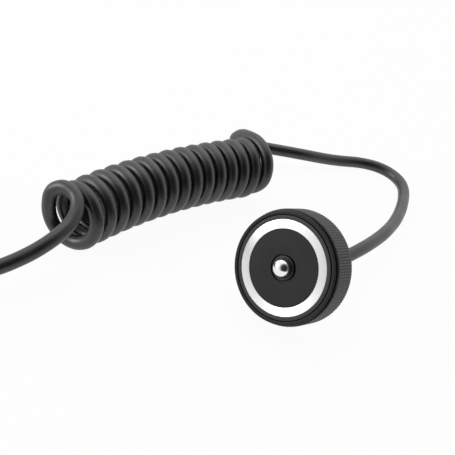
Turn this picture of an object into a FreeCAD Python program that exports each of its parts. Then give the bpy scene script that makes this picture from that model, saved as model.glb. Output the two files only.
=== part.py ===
"""Electric hand release for a camera.

A round, straight-knurled hand piece with a ball-nosed push button in its face, a curly cord, and a
2.5 mm jack plug. The hand piece stands on the lower edge of its rear rim and leans back against its
cord; the curly cord and the plug lie on the same surface.

The row's frame: +Z up, the surface at z = 0, -Y the way the face looks, and the origin under the middle
of the hand piece. Pieces of the hand piece are drawn in its own axes: z = 0 is the face, +z points out
of it, and depths behind it are negative. Pieces of the plug are drawn from the cord's end, along +z.
"""
import FreeCAD, Part
import math
import os
import Sketcher

Vector = FreeCAD.Vector

SPRING_RUNS = 12  # straight runs in one turn of the return spring
WIRE_SIDES = 8  # flats round the spring's wire and the conductors

SIZES = [
    # hand piece
    ("lean_angle", 18.8, "how far the face looks up, degrees"),
    ("body_depth", 9.2, "face to back"),
    ("grip_radius", 14.95, "over the knurl"),
    ("grip_wall", 1.02, "grip ring, crest to bore"),
    ("land_width", 0.3, "plain land at each end of the grip ring"),
    ("land_drop", 0.25, "plain lands, below the knurl's crest"),
    ("knurl_count", 128, "straight grooves round the grip ring"),
    ("knurl_depth", 0.22, "of one groove"),
    ("knurl_half_width", 0.26, "of one groove, at the crest"),
    ("knurl_overcut", 0.1, "the groove's profile stands this far outside the crest"),
    ("rim_thickness", 0.4, "rear rim that holds the grip ring"),
    ("rim_inset", 0.35, "rear rim, inside the knurl's crest"),
    ("rim_chamfer", 0.15, "rear rim's outer edge"),
    # front cap and what it carries
    ("lip_inset", 0.45, "front lip, inside the knurl's crest"),
    ("lip_width", 1.0, "front lip, radially"),
    ("lip_height", 0.4, "front lip, along the axis"),
    ("lip_fillet", 0.25, "front lip's outer edge"),
    ("shadow_groove_width", 0.7, "between the lip and the grip ring"),
    ("shadow_groove_depth", 0.45, "below the lip"),
    ("spigot_wall", 0.7, "front cap's spigot"),
    ("spigot_length", 2.9, "into the housing"),
    ("ledge_depth", 0.8, "face to the ledge under the carrier"),
    ("bezel_gap", 0.2, "open line between the lip and the carrier's rim"),
    ("bezel_width", 1.0, "carrier's rim, radially"),
    ("inlay_depth", 0.6, "trim ring and face disc, thickness"),
    ("trim_width", 2.3, "trim ring, radially"),
    ("trim_chamfer", 0.08, "trim ring's front edges"),
    ("carrier_depth", 1.6, "face to the carrier's back"),
    ("hole_gap", 0.5, "open line between the face disc and the guide bush"),
    ("slip_gap", 0.03, "between two pieces that fit in each other"),
    # button and its guide
    ("button_radius", 2.55, "ball nose and stem"),
    ("nose_centre", 0.3, "ball nose's centre, ahead of the face"),
    ("running_gap", 0.05, "button in its bush"),
    ("bush_wall", 0.5, "guide bush"),
    ("bush_proud", 0.08, "guide bush ahead of the face"),
    ("bush_chamfer", 0.15, "guide bush's front edge"),
    ("bush_flange_width", 1.3, "guide bush's flange, radially"),
    ("bush_flange_thickness", 0.7, "guide bush's flange"),
    ("stop_gap", 0.05, "clip to bush at rest"),
    ("clip_width", 2.0, "retaining clip, radially"),
    ("clip_thickness", 0.45, "retaining clip"),
    ("clip_neck_depth", 0.65, "neck that the clip sits in, below the stem"),
    ("clip_bite", 0.6, "clip's mouth, narrower than the neck on each side"),
    ("shoulder_length", 0.3, "button behind the clip"),
    ("tail_radius", 1.2, "button's tail pin"),
    ("tail_length", 1.5, "button's tail pin"),
    ("button_travel", 1.5, "rest to full press"),
    # switch
    ("collar_flange_width", 1.2, "insulating collar's flange, radially"),
    ("collar_flange", 0.4, "insulating collar's flange, thickness"),
    ("collar_sleeve_wall", 0.77, "insulating collar's sleeve"),
    ("collar_sleeve_length", 0.6, "insulating collar's sleeve"),
    ("plate_margin", 0.3, "contact plate, past the release contacts"),
    ("plate_thickness", 0.25, "contact plate"),
    ("spring_wire", 0.3, "return spring, wire diameter"),
    ("spring_turns", 4, "return spring"),
    ("spring_gap", 0.2, "return spring, outside the collar's sleeve"),
    ("seat_thickness", 0.3, "spring seat"),
    ("seat_inner_margin", 0.8, "spring seat, inside the spring"),
    ("seat_outer_margin", 0.4, "spring seat, outside the spring"),
    ("board_gap", 1.2, "contact board to the housing's wall"),
    ("board_thickness", 1.0, "contact board"),
    ("board_hole_gap", 0.6, "contact board's middle hole, outside the spring"),
    ("post_height", 0.8, "housing floor to board"),
    ("post_radius", 1.3, "board posts"),
    ("post_inset", 1.8, "board's edge to the middle of its posts"),
    ("stud_radius", 0.6, "release contacts"),
    ("stud_margin", 0.6, "board's middle hole to the release contacts"),
    ("contact_gap", 0.02, "contact plate to the release contacts at full press"),
    ("leaf_width", 1.6, "focus contact leaf"),
    ("leaf_thickness", 0.15, "focus contact leaf"),
    ("focus_travel", 0.57, "press at which the contact plate meets the focus leaf"),
    ("leaf_foot", 2.4, "focus contact leaf's flat foot"),
    ("stake_radius", 0.6, "stakes on the board posts"),
    ("stake_proud", 0.35, "stakes, past the board"),
    ("pin_radius", 0.32, "solder pins"),
    ("pin_proud", 0.4, "solder pins, past each face of the board"),
    ("pin_gap", 2.0, "contact plate's edge to the solder pins' middle"),
    ("wire_radius", 0.2, "conductors"),
    ("wire_spacing", 0.9, "conductors, middle to middle"),
    ("wire_start", 0.9, "conductors' ends on the strain relief, beyond the axis"),
    # housing
    ("floor_thickness", 1.8, "housing's back wall"),
    ("cavity_wall", 1.7, "housing's side wall behind the spigot"),
    ("seal_section", 0.6, "seal ring's section"),
    ("channel_side", 0.5, "wire channel, beside the outer conductors"),
    ("channel_end", 0.6, "wire channel, past the middle of the conductors' ends"),
    ("channel_depth", 1.0, "wire channel in the housing's floor"),
    # strain relief
    ("neck_radius", 3.0, "strain relief's neck in the back wall"),
    ("neck_depth", 0.5, "strain relief's neck in the back wall"),
    ("boot_collar_width", 0.9, "strain relief against the back, past its neck"),
    ("boot_collar_length", 1.2, "strain relief against the back"),
    ("boot_length", 12.0, "strain relief, back to tip"),
    ("boot_root_wall", 1.55, "strain relief round the cord behind its collar"),
    ("boot_tip_wall", 0.55, "strain reliefs round the cord at their tips"),
    ("boot_groove_count", 4, "strain relief's grooves"),
    ("boot_groove_width", 0.8, "strain relief's grooves"),
    ("boot_groove_depth", 0.45, "strain relief's grooves"),
    # cord
    ("cord_diameter", 3.5, "whole cord"),
    ("coil_radius", 7.27, "curly cord, to the middle of the cord"),
    ("coil_length", 75.5, "curly cord, end to end"),
    ("coil_bow", 250.0, "radius of the gentle bow that the curly cord lies in"),
    ("coil_middle_x", -49.5, "middle of the curly cord"),
    ("coil_middle_y", -2.95, "middle of the curly cord"),
    ("coil_turned", 4.7, "curly cord's axis, turned from Y, degrees"),
    ("lying_gap", 0.03, "cord and plug above the surface"),
    # plug
    ("plug_x", -76.0, "cord end of the plug"),
    ("plug_y", -80.5, "axis of the plug"),
    ("plug_boot_length", 11.0, "plug's strain relief"),
    ("plug_boot_inset", 0.9, "plug's strain relief, inside the shell's radius"),
    ("plug_shell_radius", 4.2, "plug's handle"),
    ("plug_shell_length", 18.0, "plug's handle"),
    ("plug_shell_taper", 1.2, "plug's handle, each end"),
    ("plug_grip_count", 5, "finger grooves round the plug's handle"),
    ("plug_grip_width", 0.9, "of one finger groove"),
    ("plug_grip_depth", 0.35, "of one finger groove"),
    ("jack_radius", 1.25, "2.5 mm jack"),
    ("jack_collar_radius", 2.6, "jack's collar"),
    ("jack_collar_length", 1.2, "jack's collar"),
    ("jack_sleeve_length", 5.4, "jack's sleeve"),
    ("jack_band_length", 0.7, "each insulating band"),
    ("jack_ring_length", 1.4, "jack's ring"),
    ("jack_tip_length", 2.8, "jack's tip"),
    ("jack_waist_radius", 0.85, "catch groove behind the tip"),
    ("jack_point_radius", 0.4, "flat on the tip"),
]


class Term:
    """A size: its number, and the expression that gives it from the sheet."""

    def __init__(self, value, text):
        self.value = float(value)
        self.text = text

    @staticmethod
    def of(other):
        return other if isinstance(other, Term) else Term(other, f"{other}")

    def _join(self, other, sign, value):
        return Term(value, f"({self.text} {sign} {Term.of(other).text})")

    def __add__(self, other):
        return self._join(other, "+", self.value + Term.of(other).value)

    def __sub__(self, other):
        return self._join(other, "-", self.value - Term.of(other).value)

    def __mul__(self, other):
        return self._join(other, "*", self.value * Term.of(other).value)

    def __truediv__(self, other):
        return self._join(other, "/", self.value / Term.of(other).value)

    def __neg__(self):
        return Term(-self.value, f"(0 - {self.text})")


class Sizes:
    """The driving dimensions, each an attribute with its alias's name."""


doc = FreeCAD.newDocument("hand_release")
sheet = doc.addObject("Spreadsheet::Sheet", "sizes")
S = Sizes()
for line, (alias, number, meaning) in enumerate(SIZES, start=1):
    sheet.set(f"A{line}", meaning)
    sheet.set(f"B{line}", str(number))
    sheet.setAlias(f"B{line}", alias)
    setattr(S, alias, Term(number, f"sizes.{alias}"))
doc.recompute()

nodes = []

# ---------------------------------------------------------------- worked-out sizes
lip_radius = S.grip_radius - S.lip_inset
lip_inner = lip_radius - S.lip_width
cap_back = S.lip_height + S.shadow_groove_width
ring_bore = S.grip_radius - S.grip_wall
housing_radius = ring_bore - S.slip_gap
rim_radius = S.grip_radius - S.rim_inset
floor_depth = S.body_depth - S.floor_thickness
channel_bottom = floor_depth + S.channel_depth
cavity_radius = housing_radius - S.cavity_wall
spigot_bore = cavity_radius
spigot_radius = spigot_bore + S.spigot_wall
spigot_end = cap_back + S.spigot_length
bezel_radius = lip_inner - S.bezel_gap
inlay_radius = bezel_radius - S.bezel_width
trim_outer = inlay_radius - S.slip_gap
trim_inner = trim_outer - S.trim_width
disc_radius = trim_inner - S.slip_gap
bush_bore = S.button_radius + S.running_gap
bush_radius = bush_bore + S.bush_wall
bush_back = S.carrier_depth + S.bush_flange_thickness
bush_flange_radius = bush_radius + S.bush_flange_width
hole_radius = bush_radius + S.hole_gap
neck_radius = S.button_radius - S.clip_neck_depth
clip_radius = neck_radius + S.clip_width
clip_front = bush_back + S.stop_gap
clip_back = clip_front + S.clip_thickness
shoulder_back = clip_back + S.slip_gap + S.shoulder_length
plate_front = shoulder_back + S.collar_flange
plate_back = plate_front + S.plate_thickness
sleeve_radius = S.tail_radius + S.slip_gap + S.collar_sleeve_wall
spring_radius = sleeve_radius + S.spring_gap + S.spring_wire / 2
spring_outer = spring_radius + S.spring_wire / 2
board_back = floor_depth - S.post_height
board_front = board_back - S.board_thickness
board_radius = cavity_radius - S.board_gap
board_hole_radius = spring_outer + S.board_hole_gap
post_circle = board_radius - S.post_inset
stud_circle = board_hole_radius + S.stud_margin + S.stud_radius
stud_height = board_front - plate_back - S.button_travel - S.contact_gap
plate_radius = stud_circle + S.stud_radius + S.plate_margin
pin_distance = plate_radius + S.pin_gap
boot_end = S.body_depth + S.boot_length
neck_top = S.body_depth - S.neck_depth
cord_radius = S.cord_diameter / 2
boot_tip_radius = cord_radius + S.boot_tip_wall
boot_root_radius = cord_radius + S.boot_root_wall
boot_collar_radius = S.neck_radius + S.boot_collar_width
coil_outer = S.coil_radius + cord_radius
knurl_back = S.body_depth - S.rim_thickness - S.land_width


# ---------------------------------------------------------------- placing
def bind_placement(obj, base, axis, angle):
    """Places obj at base, turned by angle, in degrees, about axis. All are sizes or plain numbers."""
    place = [Term.of(value) for value in base]
    about = [Term.of(value) for value in axis]
    turn = Term.of(angle)
    obj.Placement = FreeCAD.Placement(
        Vector(*[term.value for term in place]),
        FreeCAD.Rotation(Vector(*[term.value for term in about]), turn.value),
    )
    for letter, term in zip("xyz", place):
        obj.setExpression(f".Placement.Base.{letter}", term.text)
    for letter, term in zip("xyz", about):
        obj.setExpression(f".Placement.Rotation.Axis.{letter}", term.text)
    obj.setExpression(".Placement.Rotation.Angle", turn.text)


def part_of(term, function, angle):
    """A size times the sine or cosine of an angle in degrees."""
    ratio = getattr(math, function)(math.radians(angle.value))
    return Term(term.value * ratio, f"({term.text} * {function}({angle.text} * 1deg))")


def lean_of(term, function):
    """A size times the sine or cosine of the lean."""
    return part_of(term, function, S.lean_angle)


# The knurl's lower rear edge touches the surface, and the hand piece is centred over the origin.
face_height = lean_of(knurl_back, "sin") + lean_of(S.grip_radius, "cos")
rear_reach = lean_of(boot_end, "cos") + lean_of(boot_tip_radius, "sin")
face_y = (lean_of(lip_radius, "sin") - rear_reach) / 2
head_turn = Term.of(90) - S.lean_angle


def seat_in_head(obj):
    """Places a piece that is drawn in the hand piece's own axes."""
    bind_placement(obj, (0, face_y, face_height), (1, 0, 0), head_turn)


def seat_in_plug(obj):
    """Places a piece that is drawn from the cord's end of the plug."""
    height = S.plug_shell_radius + S.lying_gap
    bind_placement(obj, (S.plug_x, S.plug_y, height), (0, 1, 0), -90)


def head_point(x, y, z):
    """Where a point of the hand piece's own axes lies in the row's frame."""
    lean = math.radians(S.lean_angle.value)
    return Vector(
        x,
        face_y.value + y * math.sin(lean) - z * math.cos(lean),
        face_height.value + y * math.cos(lean) + z * math.sin(lean),
    )


# ---------------------------------------------------------------- making pieces
def origin_plane(body, role):
    """One of a body's own three planes."""
    return next(feature for feature in body.Origin.OriginFeatures if feature.Role == role)


def new_body(label):
    """An empty PartDesign body whose label names its node."""
    body = doc.addObject("PartDesign::Body", label)
    body.Label = label
    nodes.append(body)
    return body


def outline_sketch(body, name, role, outline):
    """A closed outline of straight lines on one of the body's planes, each corner bound to the sheet."""
    sketch = body.newObject("Sketcher::SketchObject", name)
    sketch.AttachmentSupport = (origin_plane(body, role), [""])
    sketch.MapMode = "FlatFace"
    corners = [(Term.of(across), Term.of(along)) for across, along in outline]
    count = len(corners)
    for index, (across, along) in enumerate(corners):
        next_across, next_along = corners[(index + 1) % count]
        start = Vector(across.value, along.value, 0)
        end = Vector(next_across.value, next_along.value, 0)
        sketch.addGeometry(Part.LineSegment(start, end), False)
    for index in range(count):
        sketch.addConstraint(Sketcher.Constraint("Coincident", index, 2, (index + 1) % count, 1))
    for index, corner in enumerate(corners):
        for kind, term in zip(("DistanceX", "DistanceY"), corner):
            constraint = sketch.addConstraint(Sketcher.Constraint(kind, -1, 1, index, 1, term.value))
            sketch.setExpression(f"Constraints[{constraint}]", term.text)
    return sketch


def circle_sketch(body, name, circles):
    """Circles on the body's XY plane: each is (x, y, radius), bound to the sheet."""
    sketch = body.newObject("Sketcher::SketchObject", name)
    sketch.AttachmentSupport = (origin_plane(body, "XY_Plane"), [""])
    sketch.MapMode = "FlatFace"
    for index, circle in enumerate(circles):
        x, y, radius = (Term.of(value) for value in circle)
        shape = Part.Circle(Vector(x.value, y.value, 0), Vector(0, 0, 1), radius.value)
        sketch.addGeometry(shape, False)
        for kind, term in (("DistanceX", x), ("DistanceY", y)):
            constraint = sketch.addConstraint(Sketcher.Constraint(kind, -1, 1, index, 3, term.value))
            sketch.setExpression(f"Constraints[{constraint}]", term.text)
        constraint = sketch.addConstraint(Sketcher.Constraint("Radius", index, radius.value))
        sketch.setExpression(f"Constraints[{constraint}]", radius.text)
    return sketch


def revolve(body, name, outline):
    """Turns an outline of (radius, height) about the body's Z axis."""
    sketch = outline_sketch(body, f"{name}_outline", "XZ_Plane", outline)
    feature = body.newObject("PartDesign::Revolution", name)
    feature.Profile = sketch
    feature.ReferenceAxis = (sketch, ["V_Axis"])
    feature.Angle = 360
    doc.recompute()
    return feature


def turned(label, outline):
    """A body that is one turned piece."""
    body = new_body(label)
    revolve(body, f"{label}_turned", outline)
    return body


def slab(body, kind, name, sketch, low, high):
    """Pads or pockets a sketch on the XY plane between two heights."""
    low, high = Term.of(low), Term.of(high)
    sketch.AttachmentOffset = FreeCAD.Placement(Vector(0, 0, low.value), FreeCAD.Rotation())
    sketch.setExpression(".AttachmentOffset.Base.z", low.text)
    feature = body.newObject(f"PartDesign::{kind}", name)
    feature.Profile = sketch
    feature.Length = high.value - low.value
    feature.setExpression("Length", (high - low).text)
    # A pad rises along +Z by itself, and a pocket sinks along -Z.
    feature.Reversed = kind == "Pocket"
    before = feature.BaseFeature.Shape.Volume
    doc.recompute()
    if abs(feature.Shape.Volume - before) < 1e-3:
        raise RuntimeError(f"{name} changes nothing")
    return feature


def round_pattern(body, name, feature, sketch, count):
    """Repeats a feature evenly round the body's Z axis."""
    pattern = body.newObject("PartDesign::PolarPattern", name)
    pattern.Originals = [feature]
    pattern.Axis = (sketch, ["N_Axis"])
    pattern.Angle = 360
    pattern.Occurrences = int(Term.of(count).value)
    if isinstance(count, Term):
        pattern.setExpression("Occurrences", count.text)
    body.Tip = pattern
    doc.recompute()
    return pattern


def rim_edges(feature, radius, height):
    """Names of the circular edges at a radius and height about the Z axis."""
    names = []
    for index, edge in enumerate(feature.Shape.Edges, start=1):
        curve = edge.Curve
        if not isinstance(curve, Part.Circle):
            continue
        close = abs(curve.Radius - radius.value) < 1e-4 and abs(curve.Center.z - height.value) < 1e-4
        if close and math.hypot(curve.Center.x, curve.Center.y) < 1e-4:
            names.append(f"Edge{index}")
    return names


def soften(body, kind, name, feature, radius, height, amount):
    """Fillets or chamfers the circular edges at one radius and height."""
    dressed = body.newObject(f"PartDesign::{kind}", name)
    dressed.Base = (feature, rim_edges(feature, Term.of(radius), Term.of(height)))
    amount_name = "Radius" if kind == "Fillet" else "Size"
    setattr(dressed, amount_name, amount.value)
    dressed.setExpression(amount_name, amount.text)
    doc.recompute()
    return dressed


def placed_shape(label, shape):
    """A Part feature whose shape is worked out here."""
    feature = doc.addObject("Part::Feature", label)
    feature.Label = label
    feature.Shape = shape
    nodes.append(feature)
    return feature


def primitive(kind, name, sizes, base=(0, 0, 0)):
    """A Part primitive whose sizes and place are bound to the sheet."""
    obj = doc.addObject(f"Part::{kind}", name)
    for property_name, value in sizes.items():
        term = Term.of(value)
        setattr(obj, property_name, term.value)
        obj.setExpression(property_name, term.text)
    place = [Term.of(value) for value in base]
    obj.Placement.Base = Vector(*[term.value for term in place])
    for letter, term in zip("xyz", place):
        obj.setExpression(f".Placement.Base.{letter}", term.text)
    return obj


def fused(label, pieces):
    """One node made of primitives joined together."""
    joined = doc.addObject("Part::MultiFuse", label)
    joined.Label = label
    joined.Shapes = pieces
    nodes.append(joined)
    return joined


def tube_path(points, bend_share=0.45):
    """A wire of straight runs joined by tangent arcs, and the arcs' radii."""
    edges = []
    radii = []
    start = points[0]
    for before, corner, after in zip(points, points[1:], points[2:]):
        inward = (corner - before).normalize()
        outward = (after - corner).normalize()
        half_turn = inward.getAngle(outward) / 2
        shorter = min((corner - before).Length, (after - corner).Length)
        setback = bend_share * shorter
        radii.append(setback / math.tan(half_turn))
        arc_start = corner - inward * setback
        arc_end = corner + outward * setback
        bisector = (outward - inward).normalize()
        centre = corner + bisector * (setback / math.sin(half_turn))
        middle = centre - bisector * radii[-1]
        edges.append(Part.LineSegment(start, arc_start).toShape())
        edges.append(Part.Arc(arc_start, middle, arc_end).toShape())
        start = arc_end
    edges.append(Part.LineSegment(start, points[-1]).toShape())
    return Part.Wire(edges), radii


def tube(name, points, radius):
    """A round tube along tube_path(points). Its volume is compared with its section times its length."""
    path, radii = tube_path(points)
    along = (points[1] - points[0]).normalize()
    section = Part.Wire(Part.Circle(points[0], along, radius).toShape())
    shell = Part.BRepOffsetAPI.MakePipeShell(path)
    shell.add(section)
    shell.build()
    shell.makeSolid()
    solid = shell.shape()
    expected = math.pi * radius ** 2 * path.Length
    print(
        f"{name}: length {path.Length:.1f} mm, radii {[round(value, 1) for value in radii]}, "
        f"volume over section times length {solid.Volume / expected:.4f}"
    )
    return solid


def bent_wire(points, radius):
    """A thin wire of straight runs with mitred corners. Flats stand in for its round section."""
    path = Part.makePolygon(points)
    along = (points[1] - points[0]).normalize()
    across = along.cross(points[2] - points[1]).normalize()
    outward = across.cross(along)
    corners = []
    for side in range(WIRE_SIDES + 1):
        angle = 2 * math.pi * side / WIRE_SIDES
        corners.append(points[0] + (outward * math.cos(angle) + across * math.sin(angle)) * radius)
    section = Part.makePolygon(corners)
    pipe = Part.BRepOffsetAPI.MakePipeShell(path)
    pipe.setTransitionMode(1)
    pipe.add(section)
    pipe.build()
    pipe.makeSolid()
    return pipe.shape()


# ---------------------------------------------------------------- hand piece: shell
def make_front_cap():
    """Turned cap: the front lip, the shadow groove behind it, and a spigot that screws into the housing."""
    body = new_body("front_cap")
    groove_floor = lip_radius - S.shadow_groove_depth
    blank = revolve(body, "front_cap_turned", [
        (lip_inner, 0),
        (lip_radius, 0),
        (lip_radius, -S.lip_height),
        (groove_floor, -S.lip_height),
        (groove_floor, -cap_back),
        (spigot_radius, -cap_back),
        (spigot_radius, -spigot_end),
        (spigot_bore, -spigot_end),
        (spigot_bore, -S.ledge_depth),
        (lip_inner, -S.ledge_depth),
    ])
    soften(body, "Fillet", "front_cap_lip_edge", blank, lip_radius, 0, S.lip_fillet)
    return body


def make_rear_housing():
    """Cup that carries the grip ring, the contact board's posts and the strain relief."""
    body = new_body("rear_housing")
    seal_seat_radius = spigot_radius + S.seal_section + S.slip_gap * 2
    seal_seat_depth = cap_back + S.seal_section + S.slip_gap * 2
    socket_radius = spigot_radius + S.slip_gap
    socket_depth = spigot_end + S.slip_gap
    blank = revolve(body, "housing_turned", [
        (0, -channel_bottom),
        (S.neck_radius, -channel_bottom),
        (S.neck_radius, -S.body_depth),
        (rim_radius, -S.body_depth),
        (rim_radius, S.rim_thickness - S.body_depth),
        (housing_radius, S.rim_thickness - S.body_depth),
        (housing_radius, -cap_back),
        (seal_seat_radius, -cap_back),
        (seal_seat_radius, -seal_seat_depth),
        (socket_radius, -seal_seat_depth),
        (socket_radius, -socket_depth),
        (cavity_radius, -socket_depth),
        (cavity_radius, -floor_depth),
        (0, -floor_depth),
    ])
    soften(body, "Chamfer", "housing_rim_edge", blank, rim_radius, -S.body_depth, S.rim_chamfer)
    post_sketch = circle_sketch(body, "post_outline", [(0, post_circle, S.post_radius)])
    post = slab(body, "Pad", "board_post", post_sketch, -floor_depth - S.slip_gap, -board_back)
    round_pattern(body, "board_posts", post, post_sketch, 3)
    stake_sketch = circle_sketch(body, "stake_outline", [(0, post_circle, S.stake_radius)])
    stake = slab(body, "Pad", "board_stake", stake_sketch, -board_back, S.stake_proud - board_front)
    round_pattern(body, "board_stakes", stake, stake_sketch, 3)
    near_end = S.wire_start + S.channel_end
    far_end = -pin_distance - S.channel_end
    half_width = S.wire_spacing + S.wire_radius + S.channel_side
    channel_sketch = outline_sketch(body, "channel_outline", "XY_Plane", [
        (far_end, -half_width),
        (near_end, -half_width),
        (near_end, half_width),
        (far_end, half_width),
    ])
    body.Tip = slab(body, "Pocket", "wire_channel", channel_sketch, -channel_bottom, -floor_depth)
    return body


def make_grip_ring():
    """Straight-knurled ring pressed over the housing, with a plain land at each end of the knurl."""
    body = new_body("grip_ring")
    ring_back = S.body_depth - S.rim_thickness
    crest = S.grip_radius
    land = crest - S.land_drop
    knurl_front = cap_back + S.land_width
    revolve(body, "grip_blank", [
        (ring_bore, -ring_back),
        (land, -ring_back),
        (land, -knurl_back),
        (crest, -knurl_back),
        (crest, -knurl_front),
        (land, -knurl_front),
        (land, -cap_back),
        (ring_bore, -cap_back),
    ])
    flank = S.knurl_half_width * (S.knurl_depth + S.knurl_overcut) / S.knurl_depth
    groove_sketch = outline_sketch(body, "knurl_outline", "XY_Plane", [
        (crest - S.knurl_depth, 0),
        (crest + S.knurl_overcut, -flank),
        (crest + S.knurl_overcut, flank),
    ])
    groove = slab(body, "Pocket", "knurl_groove", groove_sketch, -knurl_back, -knurl_front)
    round_pattern(body, "knurl", groove, groove_sketch, S.knurl_count)
    return body


def make_seal_ring():
    """Square-section seal between the front cap and the housing."""
    inner = spigot_radius + S.slip_gap
    front = cap_back + S.slip_gap
    return turned("seal_ring", [
        (inner, -front - S.seal_section),
        (inner + S.seal_section, -front - S.seal_section),
        (inner + S.seal_section, -front),
        (inner, -front),
    ])


# ---------------------------------------------------------------- hand piece: face
def make_face_carrier():
    """Black plate on the cap's ledge. Its rim is the narrow band round the trim ring."""
    carrier_radius = spigot_bore - S.slip_gap
    hub_bore = bush_radius + S.slip_gap
    return turned("face_carrier", [
        (hub_bore, -S.inlay_depth),
        (inlay_radius, -S.inlay_depth),
        (inlay_radius, 0),
        (bezel_radius, 0),
        (bezel_radius, -S.ledge_depth),
        (carrier_radius, -S.ledge_depth),
        (carrier_radius, -S.carrier_depth),
        (hub_bore, -S.carrier_depth),
    ])


def make_trim_ring():
    """Bright ring let into the carrier."""
    body = new_body("trim_ring")
    blank = revolve(body, "trim_turned", [
        (trim_inner, -S.inlay_depth),
        (trim_outer, -S.inlay_depth),
        (trim_outer, 0),
        (trim_inner, 0),
    ])
    outer = soften(body, "Chamfer", "trim_outer_edge", blank, trim_outer, 0, S.trim_chamfer)
    soften(body, "Chamfer", "trim_inner_edge", outer, trim_inner, 0, S.trim_chamfer)
    return body


def make_face_disc():
    """Matt disc inside the trim ring, open round the guide bush."""
    return turned("face_disc", [
        (hole_radius, -S.inlay_depth),
        (disc_radius, -S.inlay_depth),
        (disc_radius, 0),
        (hole_radius, 0),
    ])


def make_guide_bush():
    """Bush that the button slides in, with a flange behind the carrier."""
    body = new_body("guide_bush")
    blank = revolve(body, "guide_bush_turned", [
        (bush_bore, -bush_back),
        (bush_flange_radius, -bush_back),
        (bush_flange_radius, -S.carrier_depth),
        (bush_radius, -S.carrier_depth),
        (bush_radius, S.bush_proud),
        (bush_bore, S.bush_proud),
    ])
    soften(body, "Chamfer", "guide_bush_edge", blank, bush_radius, S.bush_proud, S.bush_chamfer)
    return body


# ---------------------------------------------------------------- hand piece: button
def make_push_button():
    """Ball-nosed button: nose, stem, the clip's neck, a shoulder and a tail pin."""
    shoulder_front = clip_back + S.slip_gap
    nose = primitive("Sphere", "button_nose", {"Radius": S.button_radius}, (0, 0, S.nose_centre))
    stem = primitive(
        "Cylinder",
        "button_stem",
        {"Radius": S.button_radius, "Height": S.nose_centre + clip_front - S.slip_gap},
        (0, 0, S.slip_gap - clip_front),
    )
    neck = primitive(
        "Cylinder",
        "button_neck",
        {"Radius": neck_radius, "Height": S.clip_thickness + S.slip_gap * 2},
        (0, 0, -shoulder_front),
    )
    shoulder = primitive(
        "Cylinder",
        "button_shoulder",
        {"Radius": S.button_radius, "Height": S.shoulder_length},
        (0, 0, -shoulder_back),
    )
    tail = primitive(
        "Cylinder",
        "button_tail",
        {"Radius": S.tail_radius, "Height": S.tail_length},
        (0, 0, -shoulder_back - S.tail_length),
    )
    return fused("push_button", [nose, stem, neck, shoulder, tail])


def make_retaining_clip():
    """Open clip on the button's neck. It stops the button against the bush."""
    body = turned("retaining_clip", [
        (neck_radius + S.slip_gap, -clip_back),
        (clip_radius, -clip_back),
        (clip_radius, -clip_front),
        (neck_radius + S.slip_gap, -clip_front),
    ])
    half = neck_radius - S.clip_bite
    beyond = clip_radius + S.slip_gap
    mouth = outline_sketch(body, "clip_mouth_outline", "XY_Plane", [
        (0, -half),
        (beyond, -half),
        (beyond, half),
        (0, half),
    ])
    body.Tip = slab(body, "Pocket", "clip_mouth", mouth, -clip_back, -clip_front)
    return body


def make_insulating_collar():
    """Collar on the tail pin that keeps the contact plate off the button."""
    sleeve_end = plate_front + S.collar_sleeve_length
    bore = S.tail_radius + S.slip_gap
    return turned("insulating_collar", [
        (bore, -shoulder_back),
        (sleeve_radius + S.collar_flange_width, -shoulder_back),
        (sleeve_radius + S.collar_flange_width, -plate_front),
        (sleeve_radius, -plate_front),
        (sleeve_radius, -sleeve_end),
        (bore, -sleeve_end),
    ])


def make_contact_plate():
    """Moving contact: a washer under the collar's flange."""
    return turned("contact_plate", [
        (sleeve_radius + S.slip_gap, -plate_back),
        (plate_radius, -plate_back),
        (plate_radius, -plate_front),
        (sleeve_radius + S.slip_gap, -plate_front),
    ])


# ---------------------------------------------------------------- hand piece: switch
def make_return_spring():
    """Compression spring between the contact plate and the spring seat."""
    top = (plate_back + S.slip_gap + S.spring_wire / 2).value
    bottom = (floor_depth - S.seat_thickness - S.slip_gap - S.spring_wire / 2).value
    steps = int(S.spring_turns.value) * SPRING_RUNS
    points = []
    for step in range(steps + 1):
        angle = 2 * math.pi * step / SPRING_RUNS
        x = spring_radius.value * math.cos(angle)
        y = spring_radius.value * math.sin(angle)
        points.append(Vector(x, y, (bottom - top) * step / steps - bottom))
    return placed_shape("return_spring", bent_wire(points, S.spring_wire.value / 2))


def make_spring_seat():
    """Washer over the wire channel that the spring stands on."""
    seat_front = floor_depth - S.seat_thickness
    inner = spring_radius - S.spring_wire / 2 - S.seat_inner_margin
    outer = spring_outer + S.seat_outer_margin
    return turned("spring_seat", [
        (inner, -floor_depth),
        (outer, -floor_depth),
        (outer, -seat_front),
        (inner, -seat_front),
    ])


def pin_places():
    """The three solder pins, side by side."""
    return [(-pin_distance, S.wire_spacing * side) for side in (-1, 0, 1)]


def make_contact_board():
    """Round board on the housing's three posts, held by their stakes."""
    body = new_body("contact_board")
    revolve(body, "board_turned", [
        (board_hole_radius, -board_back),
        (board_radius, -board_back),
        (board_radius, -board_front),
        (board_hole_radius, -board_front),
    ])
    hole = S.stake_radius + S.slip_gap
    stake_sketch = circle_sketch(body, "stake_hole_outline", [(0, post_circle, hole)])
    stake_hole = slab(body, "Pocket", "stake_hole", stake_sketch, -board_back, -board_front)
    round_pattern(body, "stake_holes", stake_hole, stake_sketch, 3)
    pin_hole = S.pin_radius + S.slip_gap
    pin_sketch = circle_sketch(body, "pin_holes_outline", [(x, y, pin_hole) for x, y in pin_places()])
    body.Tip = slab(body, "Pocket", "pin_holes", pin_sketch, -board_back, -board_front)
    return body


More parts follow.
